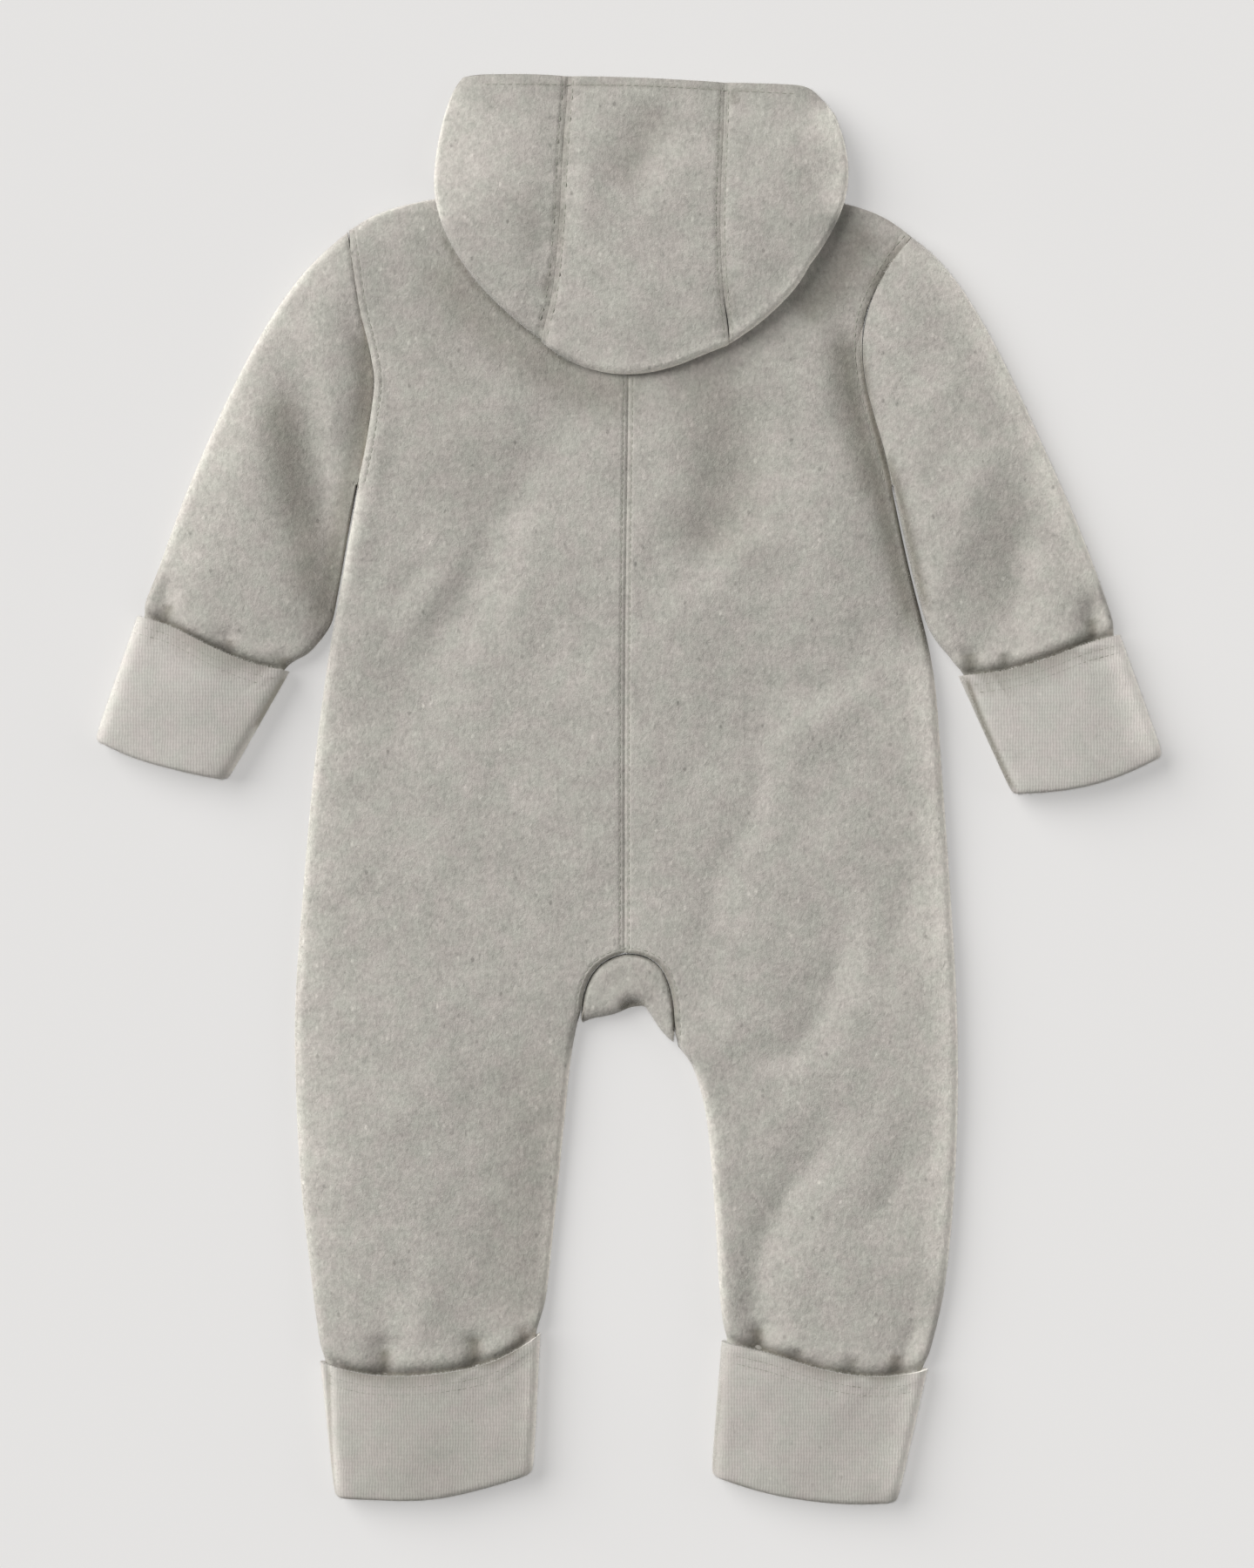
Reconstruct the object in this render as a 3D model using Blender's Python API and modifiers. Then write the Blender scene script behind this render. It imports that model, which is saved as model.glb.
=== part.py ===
"""Baby's hooded fleece overall, laid flat on its front with its back up.

Units in the tables are millimetres; +X is the wearer's right, +Y runs up the
back towards the hood, +Z is up, and the floor is at Z = 0.  The origin is below
the middle of the garment.  Every piece that is cut and sewn is one closed solid:
a wall of cloth lofted through sections that run across the piece.
"""

import math
from collections import namedtuple

import bmesh
import bpy
import numpy as np

OBJECT = "fleece_overall"
MM = 0.001

# Driving dimensions, in millimetres
CLOTH = 2.6            # thickness of the brushed fleece
LAYER_GAP = 0.4        # between layers that lie on each other
SEAM_GAP = 0.4         # between pieces sewn edge to edge
SIDE_GAP = 0.7         # between the sleeve and the side of the body beside it
BODY_TOP = 10.4        # top of the back panels where they lie on the front
UNDER_HOOD = 8.4       # the same where the hood presses them flat
SLEEVE_TOP = 10.8
CUFF_TOP = 13.4        # top of a cuff: two turned layers round the sleeve or leg
HOOD_TOP = 17.4        # top of the hood where it lies on the back
HOOD_BROW_TOP = 12.2   # top of the hood beyond the shoulders, over the floor
DEEPEST_FOLD = 4.2     # below this a fold would press the back onto the front
SEAM_DIP = 0.9         # how far a seam pulls the back down
FRONT_SEAM_DIP = 0.3   # how far a seam lifts the front off the floor
CUFF_RETURN = 14.0     # height of the cuff's inner return above its fold
CUFF_INSET = CLOTH + LAYER_GAP + 0.4
FLARE_RISE = 5.5       # how far above a cuff the sleeve or leg spreads as wide as the cuff
FLARE_INSET = 0.9
PLACKET_WIDTH = 26.0
PLACKET_TOP = 262.0
PLACKET_TIP = -73.2
PLACKET_SHOULDER = -66.0   # where the placket starts to taper to its tip
BUTTON_RADIUS = 8.0
BUTTON_HEIGHT = 1.5
BUTTON_COUNT = 5
BUTTON_FIRST = 232.0
BUTTON_PITCH = 66.0

TRUNK_SECTIONS = 13    # between the underarm and the crotch
ROLL_STEPS = 3         # facets in a quarter turn of cloth at a folded edge
BACK_FLATS = 8         # columns between the edges of a back panel
FRONT_FLATS = 5
SLEEVE_FLATS = 7
CUFF_FLATS = 7
HOOD_FLATS = 9
LEFT, RIGHT = -1, 1

Finish = namedtuple("Finish", "colour roughness")
FLEECE = Finish((0.41, 0.39, 0.355), 0.95)
REVERSE = Finish((0.45, 0.425, 0.39), 0.9)
HORN = Finish((0.30, 0.27, 0.23), 0.45)

# The shoulder: how each section runs from the centre to the shoulder seam
Shoulder = namedtuple("Shoulder", "centre_y left_x left_y right_x right_y")
SHOULDER = (
    Shoulder(271.5, -53.5, 277.0, 54.0, 277.0),
    Shoulder(267.5, -72.5, 274.0, 73.5, 274.5),
    Shoulder(263.5, -90.5, 271.5, 91.5, 271.5),
    Shoulder(259.5, -106.5, 268.0, 108.0, 267.5),
    Shoulder(255.5, -119.0, 263.5, 120.0, 262.5),
    Shoulder(251.5, -128.0, 257.0, 130.0, 254.5),
)

# The sides of the body: x of the armhole seam, then of the side seam, by level
Side = namedtuple("Side", "y left right")
SIDES = (
    Side(257.0, -128.0, 131.6),
    Side(246.0, -127.0, 123.4),
    Side(232.0, -125.0, 114.6),
    Side(218.0, -122.5, 108.5),
    Side(203.0, -118.7, 107.0),
    Side(188.0, -116.1, 108.5),
    Side(172.0, -117.9, 112.8),
    Side(156.0, -120.5, 117.4),
    Side(140.0, -124.0, 121.0),
    Side(100.0, -131.1, 129.6),
    Side(60.0, -138.0, 139.6),
    Side(10.0, -144.5, 144.0),
    Side(-46.0, -149.5, 148.0),
    Side(-108.0, -153.4, 151.3),
    Side(-150.0, -152.4, 151.4),
    Side(-182.0, -150.6, 150.0),
    Side(-220.0, -146.3, 146.7),
    Side(-245.0, -143.4, 143.2),
)
ARMHOLE_LEVELS = (246.0, 232.0, 218.0, 203.0, 188.0, 172.0, 156.0, 140.0)
UNDERARM_Y = 140.0

# The centre-back seam drifts a little to the left on its way down
Seam = namedtuple("Seam", "y x")
CENTRE_BACK = (Seam(275.0, 0.3), Seam(190.0, 0.0), Seam(82.0, -1.4), Seam(-75.0, -1.8))

# The gusset: its arched seam and, below each point of it, the fold of the crotch
Gusset = namedtuple("Gusset", "seam_x seam_y fold_x fold_y")
GUSSET = (
    Gusset(-21.6, -101.0, -21.2, -107.3),
    Gusset(-20.0, -91.0, -16.6, -105.2),
    Gusset(-15.5, -82.5, -10.5, -104.4),
    Gusset(-8.5, -77.4, -4.5, -103.0),
    Gusset(-0.5, -75.2, 1.0, -99.8),
    Gusset(7.5, -76.4, 7.6, -99.6),
    Gusset(14.5, -80.6, 10.8, -104.4),
    Gusset(18.9, -89.5, 14.2, -110.0),
    Gusset(20.8, -100.0, 17.6, -113.8),
    Gusset(21.2, -110.0, 20.4, -116.2),
)
GUSSET_MIDDLE = 4

# The legs below the gusset: x of each inner edge, by level
Inseam = namedtuple("Inseam", "y left right")
INSEAMS = (
    Inseam(-106.0, -23.2, 20.6),
    Inseam(-118.0, -25.7, 22.9),
    Inseam(-124.0, -26.6, 28.0),
    Inseam(-133.0, -27.5, 31.8),
    Inseam(-145.0, -28.7, 35.2),
    Inseam(-160.0, -30.2, 37.2),
    Inseam(-182.0, -32.4, 39.0),
    Inseam(-220.0, -36.3, 41.4),
    Inseam(-245.0, -39.0, 42.6),
)
LEG_LEVELS = {
    LEFT: (-107.0, -113.0, -122.0, -133.0, -146.0, -160.0, -175.0, -190.0, -205.0, -220.0, -234.0),
    RIGHT: (-118.2, -121.5, -126.0, -133.0, -145.0, -160.0, -175.0, -190.0, -205.0, -220.0, -234.0),
}

# A sleeve's sections from the armhole to its cuff; in_x is None along the body
Sleeve = namedtuple("Sleeve", "in_x in_y out_x out_y")
SLEEVES = {
    LEFT: (
        Sleeve(None, 131.5, -139.0, 248.5),
        Sleeve(None, 122.0, -152.0, 235.5),
        Sleeve(None, 111.5, -165.0, 216.5),
        Sleeve(None, 102.0, -176.0, 197.5),
        Sleeve(None, 92.0, -186.0, 177.0),
        Sleeve(None, 83.5, -195.0, 157.0),
        Sleeve(None, 76.0, -203.0, 138.0),
        Sleeve(-140.5, 69.5, -210.0, 119.5),
        Sleeve(-146.5, 62.5, -216.5, 101.0),
    ),
    RIGHT: (
        Sleeve(None, 130.5, 138.5, 248.0),
        Sleeve(None, 122.0, 150.0, 236.0),
        Sleeve(None, 112.0, 161.5, 218.0),
        Sleeve(None, 102.5, 171.5, 199.5),
        Sleeve(None, 93.0, 181.0, 180.0),
        Sleeve(None, 84.0, 189.5, 161.0),
        Sleeve(None, 76.0, 197.5, 143.5),
        Sleeve(141.0, 68.0, 206.0, 124.0),
        Sleeve(147.5, 61.0, 213.5, 105.0),
    ),
}

# A turned-back cuff: its mouth and its fold, each from the inner to the outer side
Cuff = namedtuple("Cuff", "name mouth fold")
HAND_CUFFS = {
    LEFT: Cuff(
        "hand_cuff_left",
        ((-155.4, 54.2), (-172.6, 57.8), (-192.6, 66.2), (-212.6, 76.2), (-225.8, 79.8)),
        ((-183.8, 4.2), (-192.6, 5.4), (-207.0, 8.6), (-228.6, 14.8), (-245.6, 22.8)),
    ),
    RIGHT: Cuff(
        "hand_cuff_right",
        ((151.4, 52.2), (171.4, 54.2), (191.4, 59.8), (209.4, 66.8), (226.2, 71.2)),
        ((176.2, -2.4), (199.4, -0.8), (215.4, 2.4), (231.4, 8.2), (246.2, 15.6)),
    ),
}
ANKLE_CUFFS = {
    LEFT: Cuff(
        "ankle_cuff_left",
        ((-40.2, -249.4), (-56.6, -260.2), (-88.6, -267.8), (-124.6, -267.2), (-141.8, -262.4)),
        ((-43.4, -313.8), (-64.6, -320.4), (-88.6, -325.6), (-116.6, -325.8), (-135.2, -325.2)),
    ),
    RIGHT: Cuff(
        "ankle_cuff_right",
        ((42.6, -253.2), (62.0, -257.4), (92.0, -266.4), (115.4, -269.4), (137.8, -266.0)),
        ((37.8, -314.8), (59.4, -321.8), (79.4, -325.8), (105.4, -328.0), (124.0, -327.2)),
    ),
}

# The hood: sections from its face edge down to its rim; drop lowers its corners
Brow = namedtuple("Brow", "edge_x edge_y rim_x rim_y drop")
HOOD_LEFT = (
    Brow(-76.2, 327.0, -80.4, 321.6, 3.4),
    Brow(-71.0, 328.0, -84.8, 310.5, 1.2),
    Brow(-61.5, 328.0, -88.4, 293.0, 0.0),
    Brow(-51.5, 328.0, -90.0, 275.0, 0.0),
    Brow(-43.0, 327.8, -85.6, 257.0, 0.0),
    Brow(-36.5, 327.6, -74.6, 238.0, 0.0),
    Brow(-32.0, 327.4, -60.0, 221.5, 0.0),
    Brow(-29.8, 327.3, -47.0, 211.0, 0.0),
    Brow(-28.2, 327.2, -40.2, 206.4, 0.0),
)
HOOD_CENTRE = (
    Brow(-27.6, 327.2, -39.4, 205.4, 0.0),
    Brow(-24.6, 327.1, -34.5, 200.4, 0.0),
    Brow(-12.0, 326.8, -21.5, 193.4, 0.0),
    Brow(3.0, 326.2, -7.0, 190.0, 0.0),
    Brow(17.0, 325.6, 8.0, 190.2, 0.0),
    Brow(31.0, 324.9, 24.0, 194.2, 0.0),
    Brow(41.0, 324.3, 40.0, 202.0, 0.0),
    Brow(43.6, 324.1, 45.6, 204.6, 0.0),
)
HOOD_RIGHT = (
    Brow(44.4, 324.1, 46.4, 205.0, 0.0),
    Brow(46.8, 324.0, 54.0, 212.6, 0.0),
    Brow(53.0, 323.8, 68.0, 225.0, 0.0),
    Brow(60.0, 323.6, 83.4, 240.6, 0.0),
    Brow(67.0, 323.4, 96.0, 259.0, 0.0),
    Brow(73.0, 323.1, 101.6, 276.0, 0.0),
    Brow(78.5, 322.7, 100.6, 294.0, 0.0),
    Brow(83.0, 321.8, 95.0, 309.5, 1.4),
    Brow(86.2, 319.6, 90.4, 315.4, 3.4),
)
HOOD_OVAL = namedtuple("Oval", "x y reach_x reach_y")(6.0, 262.0, 98.0, 76.0)

# The folded layers below the hood, on the back and above the shoulders: their ends
Layer = namedtuple("Layer", "left_x left_y right_x right_y")
HOOD_UNDER = (
    Layer(-88.6, 278.2, 100.2, 278.2),
    Layer(-86.4, 265.0, 97.6, 265.0),
    Layer(-82.0, 252.0, 91.2, 252.0),
    Layer(-74.0, 239.0, 81.0, 239.0),
    Layer(-63.0, 226.0, 68.4, 226.0),
    Layer(-49.0, 213.5, 54.6, 213.5),
    Layer(-36.0, 204.0, 41.0, 204.0),
    Layer(-24.0, 197.0, 28.0, 197.0),
    Layer(-12.0, 193.0, 14.0, 193.0),
)
HOOD_BROW = (
    Layer(-88.8, 278.6, 100.4, 278.6),
    Layer(-88.0, 288.0, 100.6, 288.0),
    Layer(-86.4, 299.0, 98.0, 297.0),
    Layer(-83.8, 309.0, 94.0, 306.0),
    Layer(-80.6, 317.0, 89.6, 312.6),
    Layer(-75.4, 324.6, 84.0, 318.6),
)
HOOD_GAP = 1.8         # between the hood and the layers folded under it, but for its dips
RIM_DROP = 4.2         # from the top of the hood to where its rim turns under
LOBE_DEPTH = 0.9       # how far the groove between two folded layers goes in

# The largest folds: soft ridges and troughs, by their run, half width and height
Fold = namedtuple("Fold", "run width height")
BACK_FOLDS = (
    Fold(((-33, 167), (-47, 139), (-65, 111), (-77, 83), (-97, 57), (-115, 44)), 15, -2.6),
    Fold(((-73, 115), (-101, 75), (-113, 67)), 7, 1.0),
    Fold(((31, 191), (49, 175), (55, 151), (47, 123), (27, 99)), 13, -2.6),
    Fold(((21, 75), (58, 111), (99, 116)), 12, 2.0),
    Fold(((56, 56), (88, 44), (118, 66)), 11, -2.6),
    Fold(((65, 43), (63, 19), (57, -9), (45, -33), (37, -57), (36, -85)), 12, -2.2),
    Fold(((101, -45), (97, -73), (91, -97), (79, -118), (59, -129)), 10, -2.4),
    Fold(((133, -31), (127, -53), (121, -81)), 9, -2.2),
    Fold(((128, 256), (112, 225), (107, 205), (109, 188), (118, 156), (131, 95), (138, 66)), 12, -3.4),
    Fold(((98, -150), (86, -168), (74, -184), (65, -200), (60, -215), (60, -254)), 9, -2.8),
    Fold(((131, -161), (123, -181), (113, -201)), 9, -2.2),
    Fold(((-28, -128), (-31, -180), (-36, -220), (-40, -250)), 28, -2.4),
    Fold(((-90, -110), (-90, -180), (-92, -240)), 30, 1.0),
    Fold(((-72, -225), (-70, -262)), 9, -2.0),
    Fold(((-111, -238), (-112, -262)), 8, -2.0),
    Fold(((136, -232), (124, -266)), 8, -2.0),
)
SLEEVE_FOLDS = (
    Fold(((-153, 199), (-150, 171), (-142, 145), (-135, 123), (-133, 83)), 11, -3.4),
    Fold(((-169, 203), (-175, 163), (-175, 123), (-173, 83)), 16, 1.2),
    Fold(((-142, 200), (-136, 172), (-131, 148)), 7, 1.0),
    Fold(((-119, 214), (-117, 196), (-118, 178), (-122, 158)), 9, -3.0),
    Fold(((-214, 106), (-212, 78)), 7, -1.8),
    Fold(((184, 155), (181, 123), (177, 91), (172, 66)), 14, -2.4),
    Fold(((167, 163), (150, 116), (144, 84)), 11, 1.2),
    Fold(((207, 103), (211, 73)), 7, -1.8),
)
HOOD_FOLDS = (
    Fold(((15, 297), (-3, 265)), 12, -1.4),
    Fold(((-28, 327), (-31, 285), (-33, 240), (-40, 206)), 5, -1.3),
    Fold(((44, 324), (43, 285), (44, 240), (46, 205)), 4, -1.0),
    Fold(((-62, 300), (-64, 262)), 20, 0.6),
    Fold(((72, 300), (72, 262)), 20, 0.6),
)

# One line across a piece, seen from above, with how it is finished at each end.
# roll_in and roll_out are 1 at a folded edge and 0 at a sewn one, cuffed is 1
# inside a cuff, and dip is how far the whole section is pulled down.
Section = namedtuple("Section", "path roll_in roll_out cuffed dip")


# Plane geometry

def smoothstep(low, high, value):
    """0 below low, 1 above high, and an even rise between."""
    share = min(1.0, max(0.0, (value - low) / (high - low)))
    return share * share * (3.0 - 2.0 * share)


def blend(first, second, share):
    """A value or point that share of the way from first to second."""
    return first + (second - first) * share


def smooth_value(levels, values, level):
    """The value at a level on a smooth curve through a table."""
    order = np.argsort(levels)
    levels = np.array(levels, float)[order]
    values = np.array(values, float)[order]
    slopes = np.gradient(values, levels)
    level = float(np.clip(level, levels[0], levels[-1]))
    at = min(int(np.searchsorted(levels, level, side="right")) - 1, len(levels) - 2)
    span = levels[at + 1] - levels[at]
    t = (level - levels[at]) / span
    return float(
        (2 * t**3 - 3 * t**2 + 1) * values[at]
        + (t**3 - 2 * t**2 + t) * span * slopes[at]
        + (3 * t**2 - 2 * t**3) * values[at + 1]
        + (t**3 - t**2) * span * slopes[at + 1]
    )


def smooth_path(points, steps=6):
    """A smooth line through a few points, as closely spaced points."""
    points = np.array(points, float)
    if len(points) == 2:
        return points
    chords = np.linalg.norm(np.diff(points, axis=0), axis=1)
    run = np.concatenate([[0.0], np.cumsum(chords)])
    wanted = np.linspace(0.0, run[-1], steps * (len(points) - 1) + 1)
    return np.array([[smooth_value(run, points[:, k], w) for k in (0, 1)] for w in wanted])


def path_length(path):
    return float(np.linalg.norm(np.diff(path, axis=0), axis=1).sum())


def path_point(path, distance):
    """The point that far along a path."""
    chords = np.linalg.norm(np.diff(path, axis=0), axis=1)
    run = np.concatenate([[0.0], np.cumsum(chords)])
    return np.array([np.interp(distance, run, path[:, k]) for k in (0, 1)])


def resampled(path, count=25):
    length = path_length(path)
    return np.array([path_point(path, length * k / (count - 1)) for k in range(count)])


def trimmed(path, inset):
    """The path shortened by the inset at both ends."""
    length = path_length(path)
    return np.array([path_point(path, d) for d in np.linspace(inset, length - inset, 25)])


def side_x(side, y):
    """x of the edge of the body on one side, armhole or side seam."""
    column = [row.left if side == LEFT else row.right for row in SIDES]
    return smooth_value([row.y for row in SIDES], column, y)


def inseam_x(side, y):
    column = [row.left if side == LEFT else row.right for row in INSEAMS]
    return smooth_value([row.y for row in INSEAMS], column, y)


def centre_x(y):
    """x of the centre-back seam."""
    return smooth_value([row.y for row in CENTRE_BACK], [row.x for row in CENTRE_BACK], y)


# Heights of the cloth

def fold_height(x, y, folds):
    """What the folds add to the height at a point."""
    point = np.array((x, y), float)
    total = 0.0
    for fold in folds:
        run = np.array(fold.run, float)
        nearest = math.inf
        for start, end in zip(run[:-1], run[1:]):
            along = end - start
            share = np.clip((point - start) @ along / (along @ along), 0.0, 1.0)
            nearest = min(nearest, float(np.linalg.norm(point - start - share * along)))
        total += fold.height * math.exp(-((nearest / fold.width) ** 2))
    return max(total, -DEEPEST_FOLD)


def under_hood(x, y):
    """1 below the hood, fading to 0 a little way beyond its rim."""
    reach = math.hypot((x - HOOD_OVAL.x) / HOOD_OVAL.reach_x, (y - HOOD_OVAL.y) / HOOD_OVAL.reach_y)
    return 1.0 - smoothstep(1.0, 1.3, reach)


def back_top(x, y, cuffed):
    folds = fold_height(x, y, BACK_FOLDS)
    free = blend(BODY_TOP + folds, UNDER_HOOD, under_hood(x, y))
    return blend(free, cuffed_top(folds), cuffed)


def sleeve_top(x, y, cuffed):
    folds = fold_height(x, y, SLEEVE_FOLDS)
    return blend(SLEEVE_TOP + folds, cuffed_top(folds), cuffed)


def cuffed_top(folds):
    """Height of a sleeve or leg inside its cuff, with what is left of its folds."""
    highest = CUFF_TOP - CLOTH - LAYER_GAP
    return min(highest, max(highest - 0.7, highest + 0.3 * folds))


def front_low(x, y, cuffed):
    """Height of the outer face of the front, which lies on the floor but for its buttons."""
    aside = abs(x - centre_x(y))
    near = 1.0 - smoothstep(PLACKET_WIDTH / 2 + 2.0, PLACKET_WIDTH / 2 + 19.0, aside)
    lift = (BUTTON_HEIGHT + LAYER_GAP) * near * smoothstep(PLACKET_TIP, -60.0, y)
    return blend(lift, CLOTH + LAYER_GAP, cuffed)


def sleeve_low(x, y, cuffed):
    return cuffed * (CLOTH + LAYER_GAP)


def hood_base(y):
    """Height of the hood, which drops from the back to the floor above the shoulders."""
    return blend(HOOD_TOP, HOOD_BROW_TOP, smoothstep(262.0, 322.0, y))


def hood_top(x, y):
    return hood_base(y) + fold_height(x, y, HOOD_FOLDS)


# Sections through the pieces

def quarter(rising):
    """Angles of a quarter turn of cloth, from its folded edge inwards if rising."""
    angles = [math.radians(90.0 * step / ROLL_STEPS) for step in range(ROLL_STEPS + 1)]
    return angles[::-1] if rising else angles


def face_points(section, top, low, depth, flats, face, gap=SEAM_GAP, dip=SEAM_DIP):
    """One skin of a piece across a section, from its inner to its outer edge.

    face is 1 for the upper face and -1 for the lower one, depth is how far the
    skin lies inside the outer one, and dip is what a sewn edge is pulled in by.
    """
    length = path_length(section.path)

    def outer(point):
        heights = top(*point, section.cuffed), low(*point, section.cuffed)
        return heights[0] - section.dip if face > 0 else heights[1]

    def seam(point):
        middle = (top(*point, section.cuffed) - section.dip + low(*point, section.cuffed)) / 2
        return middle + face * gap / 2

    radii = [abs(outer(p) - seam(p)) for p in (section.path[0], section.path[-1])]
    points = []

    def edge(angle, roll, radius, near_start):
        flat = radius * (1.0 - math.sin(angle))
        turned = radius - (radius - depth) * math.sin(angle)
        reach = blend(flat, turned, roll)
        point = path_point(section.path, reach if near_start else length - reach)
        height = outer(point) - face * depth
        middle = seam(point)
        sewn = height - face * dip * (1.0 - flat / radius) ** 2
        folded = middle + (height - middle) * math.cos(angle)
        points.append((*point, blend(sewn, folded, roll)))

    for angle in quarter(rising=True):
        edge(angle, section.roll_in, radii[0], True)
    for share in np.linspace(0.0, 1.0, flats + 1)[1:-1]:
        point = path_point(section.path, blend(radii[0], length - radii[1], share))
        points.append((*point, outer(point) - face * depth))
    for angle in quarter(rising=False):
        edge(angle, section.roll_out, radii[1], False)
    return points


def panel_loop(section, top, low, flats, face, dip):
    """A closed loop round the wall of a panel at one section."""
    outer = face_points(section, top, low, 0.0, flats, face, dip=dip)
    inner = face_points(section, top, low, CLOTH, flats, face, dip=dip)
    return outer + inner[::-1]


def ring(section, top, low, depth, flats):
    """A closed ring round a tube of cloth at one section."""
    upper = face_points(section, top, low, depth, flats, 1, gap=0.0)
    lower = face_points(section, top, low, depth, flats, -1, gap=0.0)
    return upper + lower[-2:0:-1]


def body_sections(side, front):
    """The sections of a front or back panel, from the neck to the ankle."""
    sections = []

    def add(inner, outer, roll_in, roll_out, cuffed=0.0):
        path = resampled(np.array((inner, outer), float), 2)
        sections.append(Section(path, roll_in, roll_out, cuffed, 0.0))

    def centre(y):
        if front and y > PLACKET_SHOULDER - 1.0:
            return centre_x(y) + side * (PLACKET_WIDTH / 2 + SEAM_GAP)
        return centre_x(y) + side * SEAM_GAP / 2

    for row in SHOULDER:
        out = (row.left_x, row.left_y) if side == LEFT else (row.right_x, row.right_y)
        add((centre(row.centre_y), row.centre_y), out, 0.0, 1.0)
    for y in ARMHOLE_LEVELS:
        inner_y = blend(UNDERARM_Y, SHOULDER[-1].centre_y, (y - UNDERARM_Y) / (257.0 - UNDERARM_Y))
        add((centre(inner_y), inner_y), (side_x(side, y), y), 0.0, 0.0)
    for y in np.linspace(UNDERARM_Y - 14.0, PLACKET_SHOULDER, TRUNK_SECTIONS):
        add((centre(y), y), (side_x(side, y), y), 0.0, 1.0)
    arch = GUSSET[GUSSET_MIDDLE::side]
    for step, row in enumerate(arch):
        seam = np.array((row.seam_x, row.seam_y))
        away = seam - (row.fold_x, row.fold_y)
        seam = seam + away / np.linalg.norm(away) * (SEAM_GAP + 0.1)
        if step == 0:
            seam[0] = centre_x(seam[1]) + side * SEAM_GAP / 2
        out_y = blend(-77.0, LEG_LEVELS[side][0] - 1.0, step / len(arch))
        add(seam, (side_x(side, out_y), out_y), 0.0, 1.0)
    for y in LEG_LEVELS[side]:
        add((inseam_x(side, y), y), (side_x(side, y - 1.0), y - 1.0), 1.0, 1.0)
    free = resampled(sections[-1].path)
    sections += cuff_sections(ANKLE_CUFFS[side], free)
    return sections


def cuff_path(cuff, height):
    """The line across a cuff at a height above its fold, from inner to outer side."""
    mouth = resampled(smooth_path(cuff.mouth))
    fold = resampled(smooth_path(cuff.fold))
    tall = path_length(np.array((mouth[12], fold[12])))
    return blend(fold, mouth, height / tall)


def cuff_height(cuff):
    """The height of a cuff along its middle, from its fold to its mouth."""
    mouth, fold = (resampled(smooth_path(edge)) for edge in (cuff.mouth, cuff.fold))
    return float(np.linalg.norm(mouth[12] - fold[12]))


def cuff_sections(cuff, free):
    """Sections that lead from the last free one into the cuff, down to its return."""
    tall = cuff_height(cuff)
    flare = trimmed(cuff_path(cuff, tall + FLARE_RISE), FLARE_INSET)
    sections = [
        Section(blend(free, flare, 0.5), 1.0, 1.0, 0.4, 0.0),
        Section(flare, 1.0, 1.0, 0.8, 0.0),
    ]
    for height in np.linspace(tall + 1.4, CUFF_RETURN + SEAM_GAP, 4):
        path = trimmed(cuff_path(cuff, height), CUFF_INSET)
        sections.append(Section(path, 1.0, 1.0, 1.0, 0.0))
    return sections


def sleeve_sections(side):
    """The sections of a sleeve, from the armhole seam into its cuff."""
    levels = (UNDERARM_Y,) + ARMHOLE_LEVELS[-2::-1]
    edge = [(side_x(side, y), y) for y in levels]
    tip = SHOULDER[-1]
    edge.append((tip.left_x, tip.left_y) if side == LEFT else (tip.right_x, tip.right_y))
    edge = np.array(edge)
    outward = np.gradient(edge, axis=0)
    outward = np.column_stack([outward[:, 1], -outward[:, 0]]) * side
    outward /= np.linalg.norm(outward, axis=1)[:, None]
    armhole = resampled(smooth_path(edge + outward * SIDE_GAP, 4))
    rows = []
    for row in SLEEVES[side]:
        in_x = row.in_x
        if in_x is None:
            in_x = side_x(side, row.in_y) + side * SIDE_GAP
        rows.append(resampled(np.array(((in_x, row.in_y), (row.out_x, row.out_y)))))
    sections = [Section(armhole, 1.0, 1.0, 0.0, SEAM_DIP)]
    sections.append(Section(blend(armhole, rows[0], 0.3), 1.0, 1.0, 0.0, SEAM_DIP * 0.2))
    for count, path in enumerate(rows):
        bow = (armhole - resampled(armhole[[0, -1]])) * 0.6 ** (count + 1)
        sections.append(Section(path + bow, 1.0, 1.0, 0.0, 0.0))
    return sections + cuff_sections(HAND_CUFFS[side], rows[-1])


# Meshes

def new_material(name, finish):
    material = bpy.data.materials.new(name)
    material.use_nodes = True
    shader = material.node_tree.nodes["Principled BSDF"]
    shader.inputs["Base Color"].default_value = (*finish.colour, 1.0)
    shader.inputs["Roughness"].default_value = finish.roughness
    shader.inputs["Metallic"].default_value = 0.0
    return material


def new_object(name, loops, closed, finish, collection, flat_ends=False):
    """A solid lofted through loops of points, as a tube's wall or with two ends.

    The ends of a wall close from skin to skin, and flat ones with a single face.
    """
    shape = bmesh.new()
    rows = [[shape.verts.new([c * MM for c in point]) for point in loop] for loop in loops]
    pairs = list(zip(rows[:-1], rows[1:]))
    if closed:
        pairs.append((rows[-1], rows[0]))
    count = len(rows[0])
    for first, second in pairs:
        for k in range(count):
            after = (k + 1) % count
            shape.faces.new((first[k], first[after], second[after], second[k]))
    if flat_ends:
        shape.faces.new(rows[0])
        shape.faces.new(rows[-1])
    elif not closed:
        for row in (rows[0], rows[-1]):
            for k in range(count // 2 - 1):
                shape.faces.new((row[k], row[k + 1], row[count - 2 - k], row[count - 1 - k]))
    bmesh.ops.recalc_face_normals(shape, faces=shape.faces)
    mesh = bpy.data.meshes.new(name)
    shape.to_mesh(mesh)
    shape.free()
    mesh.shade_smooth()
    mesh.set_sharp_from_angle(angle=math.radians(50.0))
    mesh.materials.append(new_material(name, finish))
    piece = bpy.data.objects.new(name, mesh)
    collection.objects.link(piece)
    return piece


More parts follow.
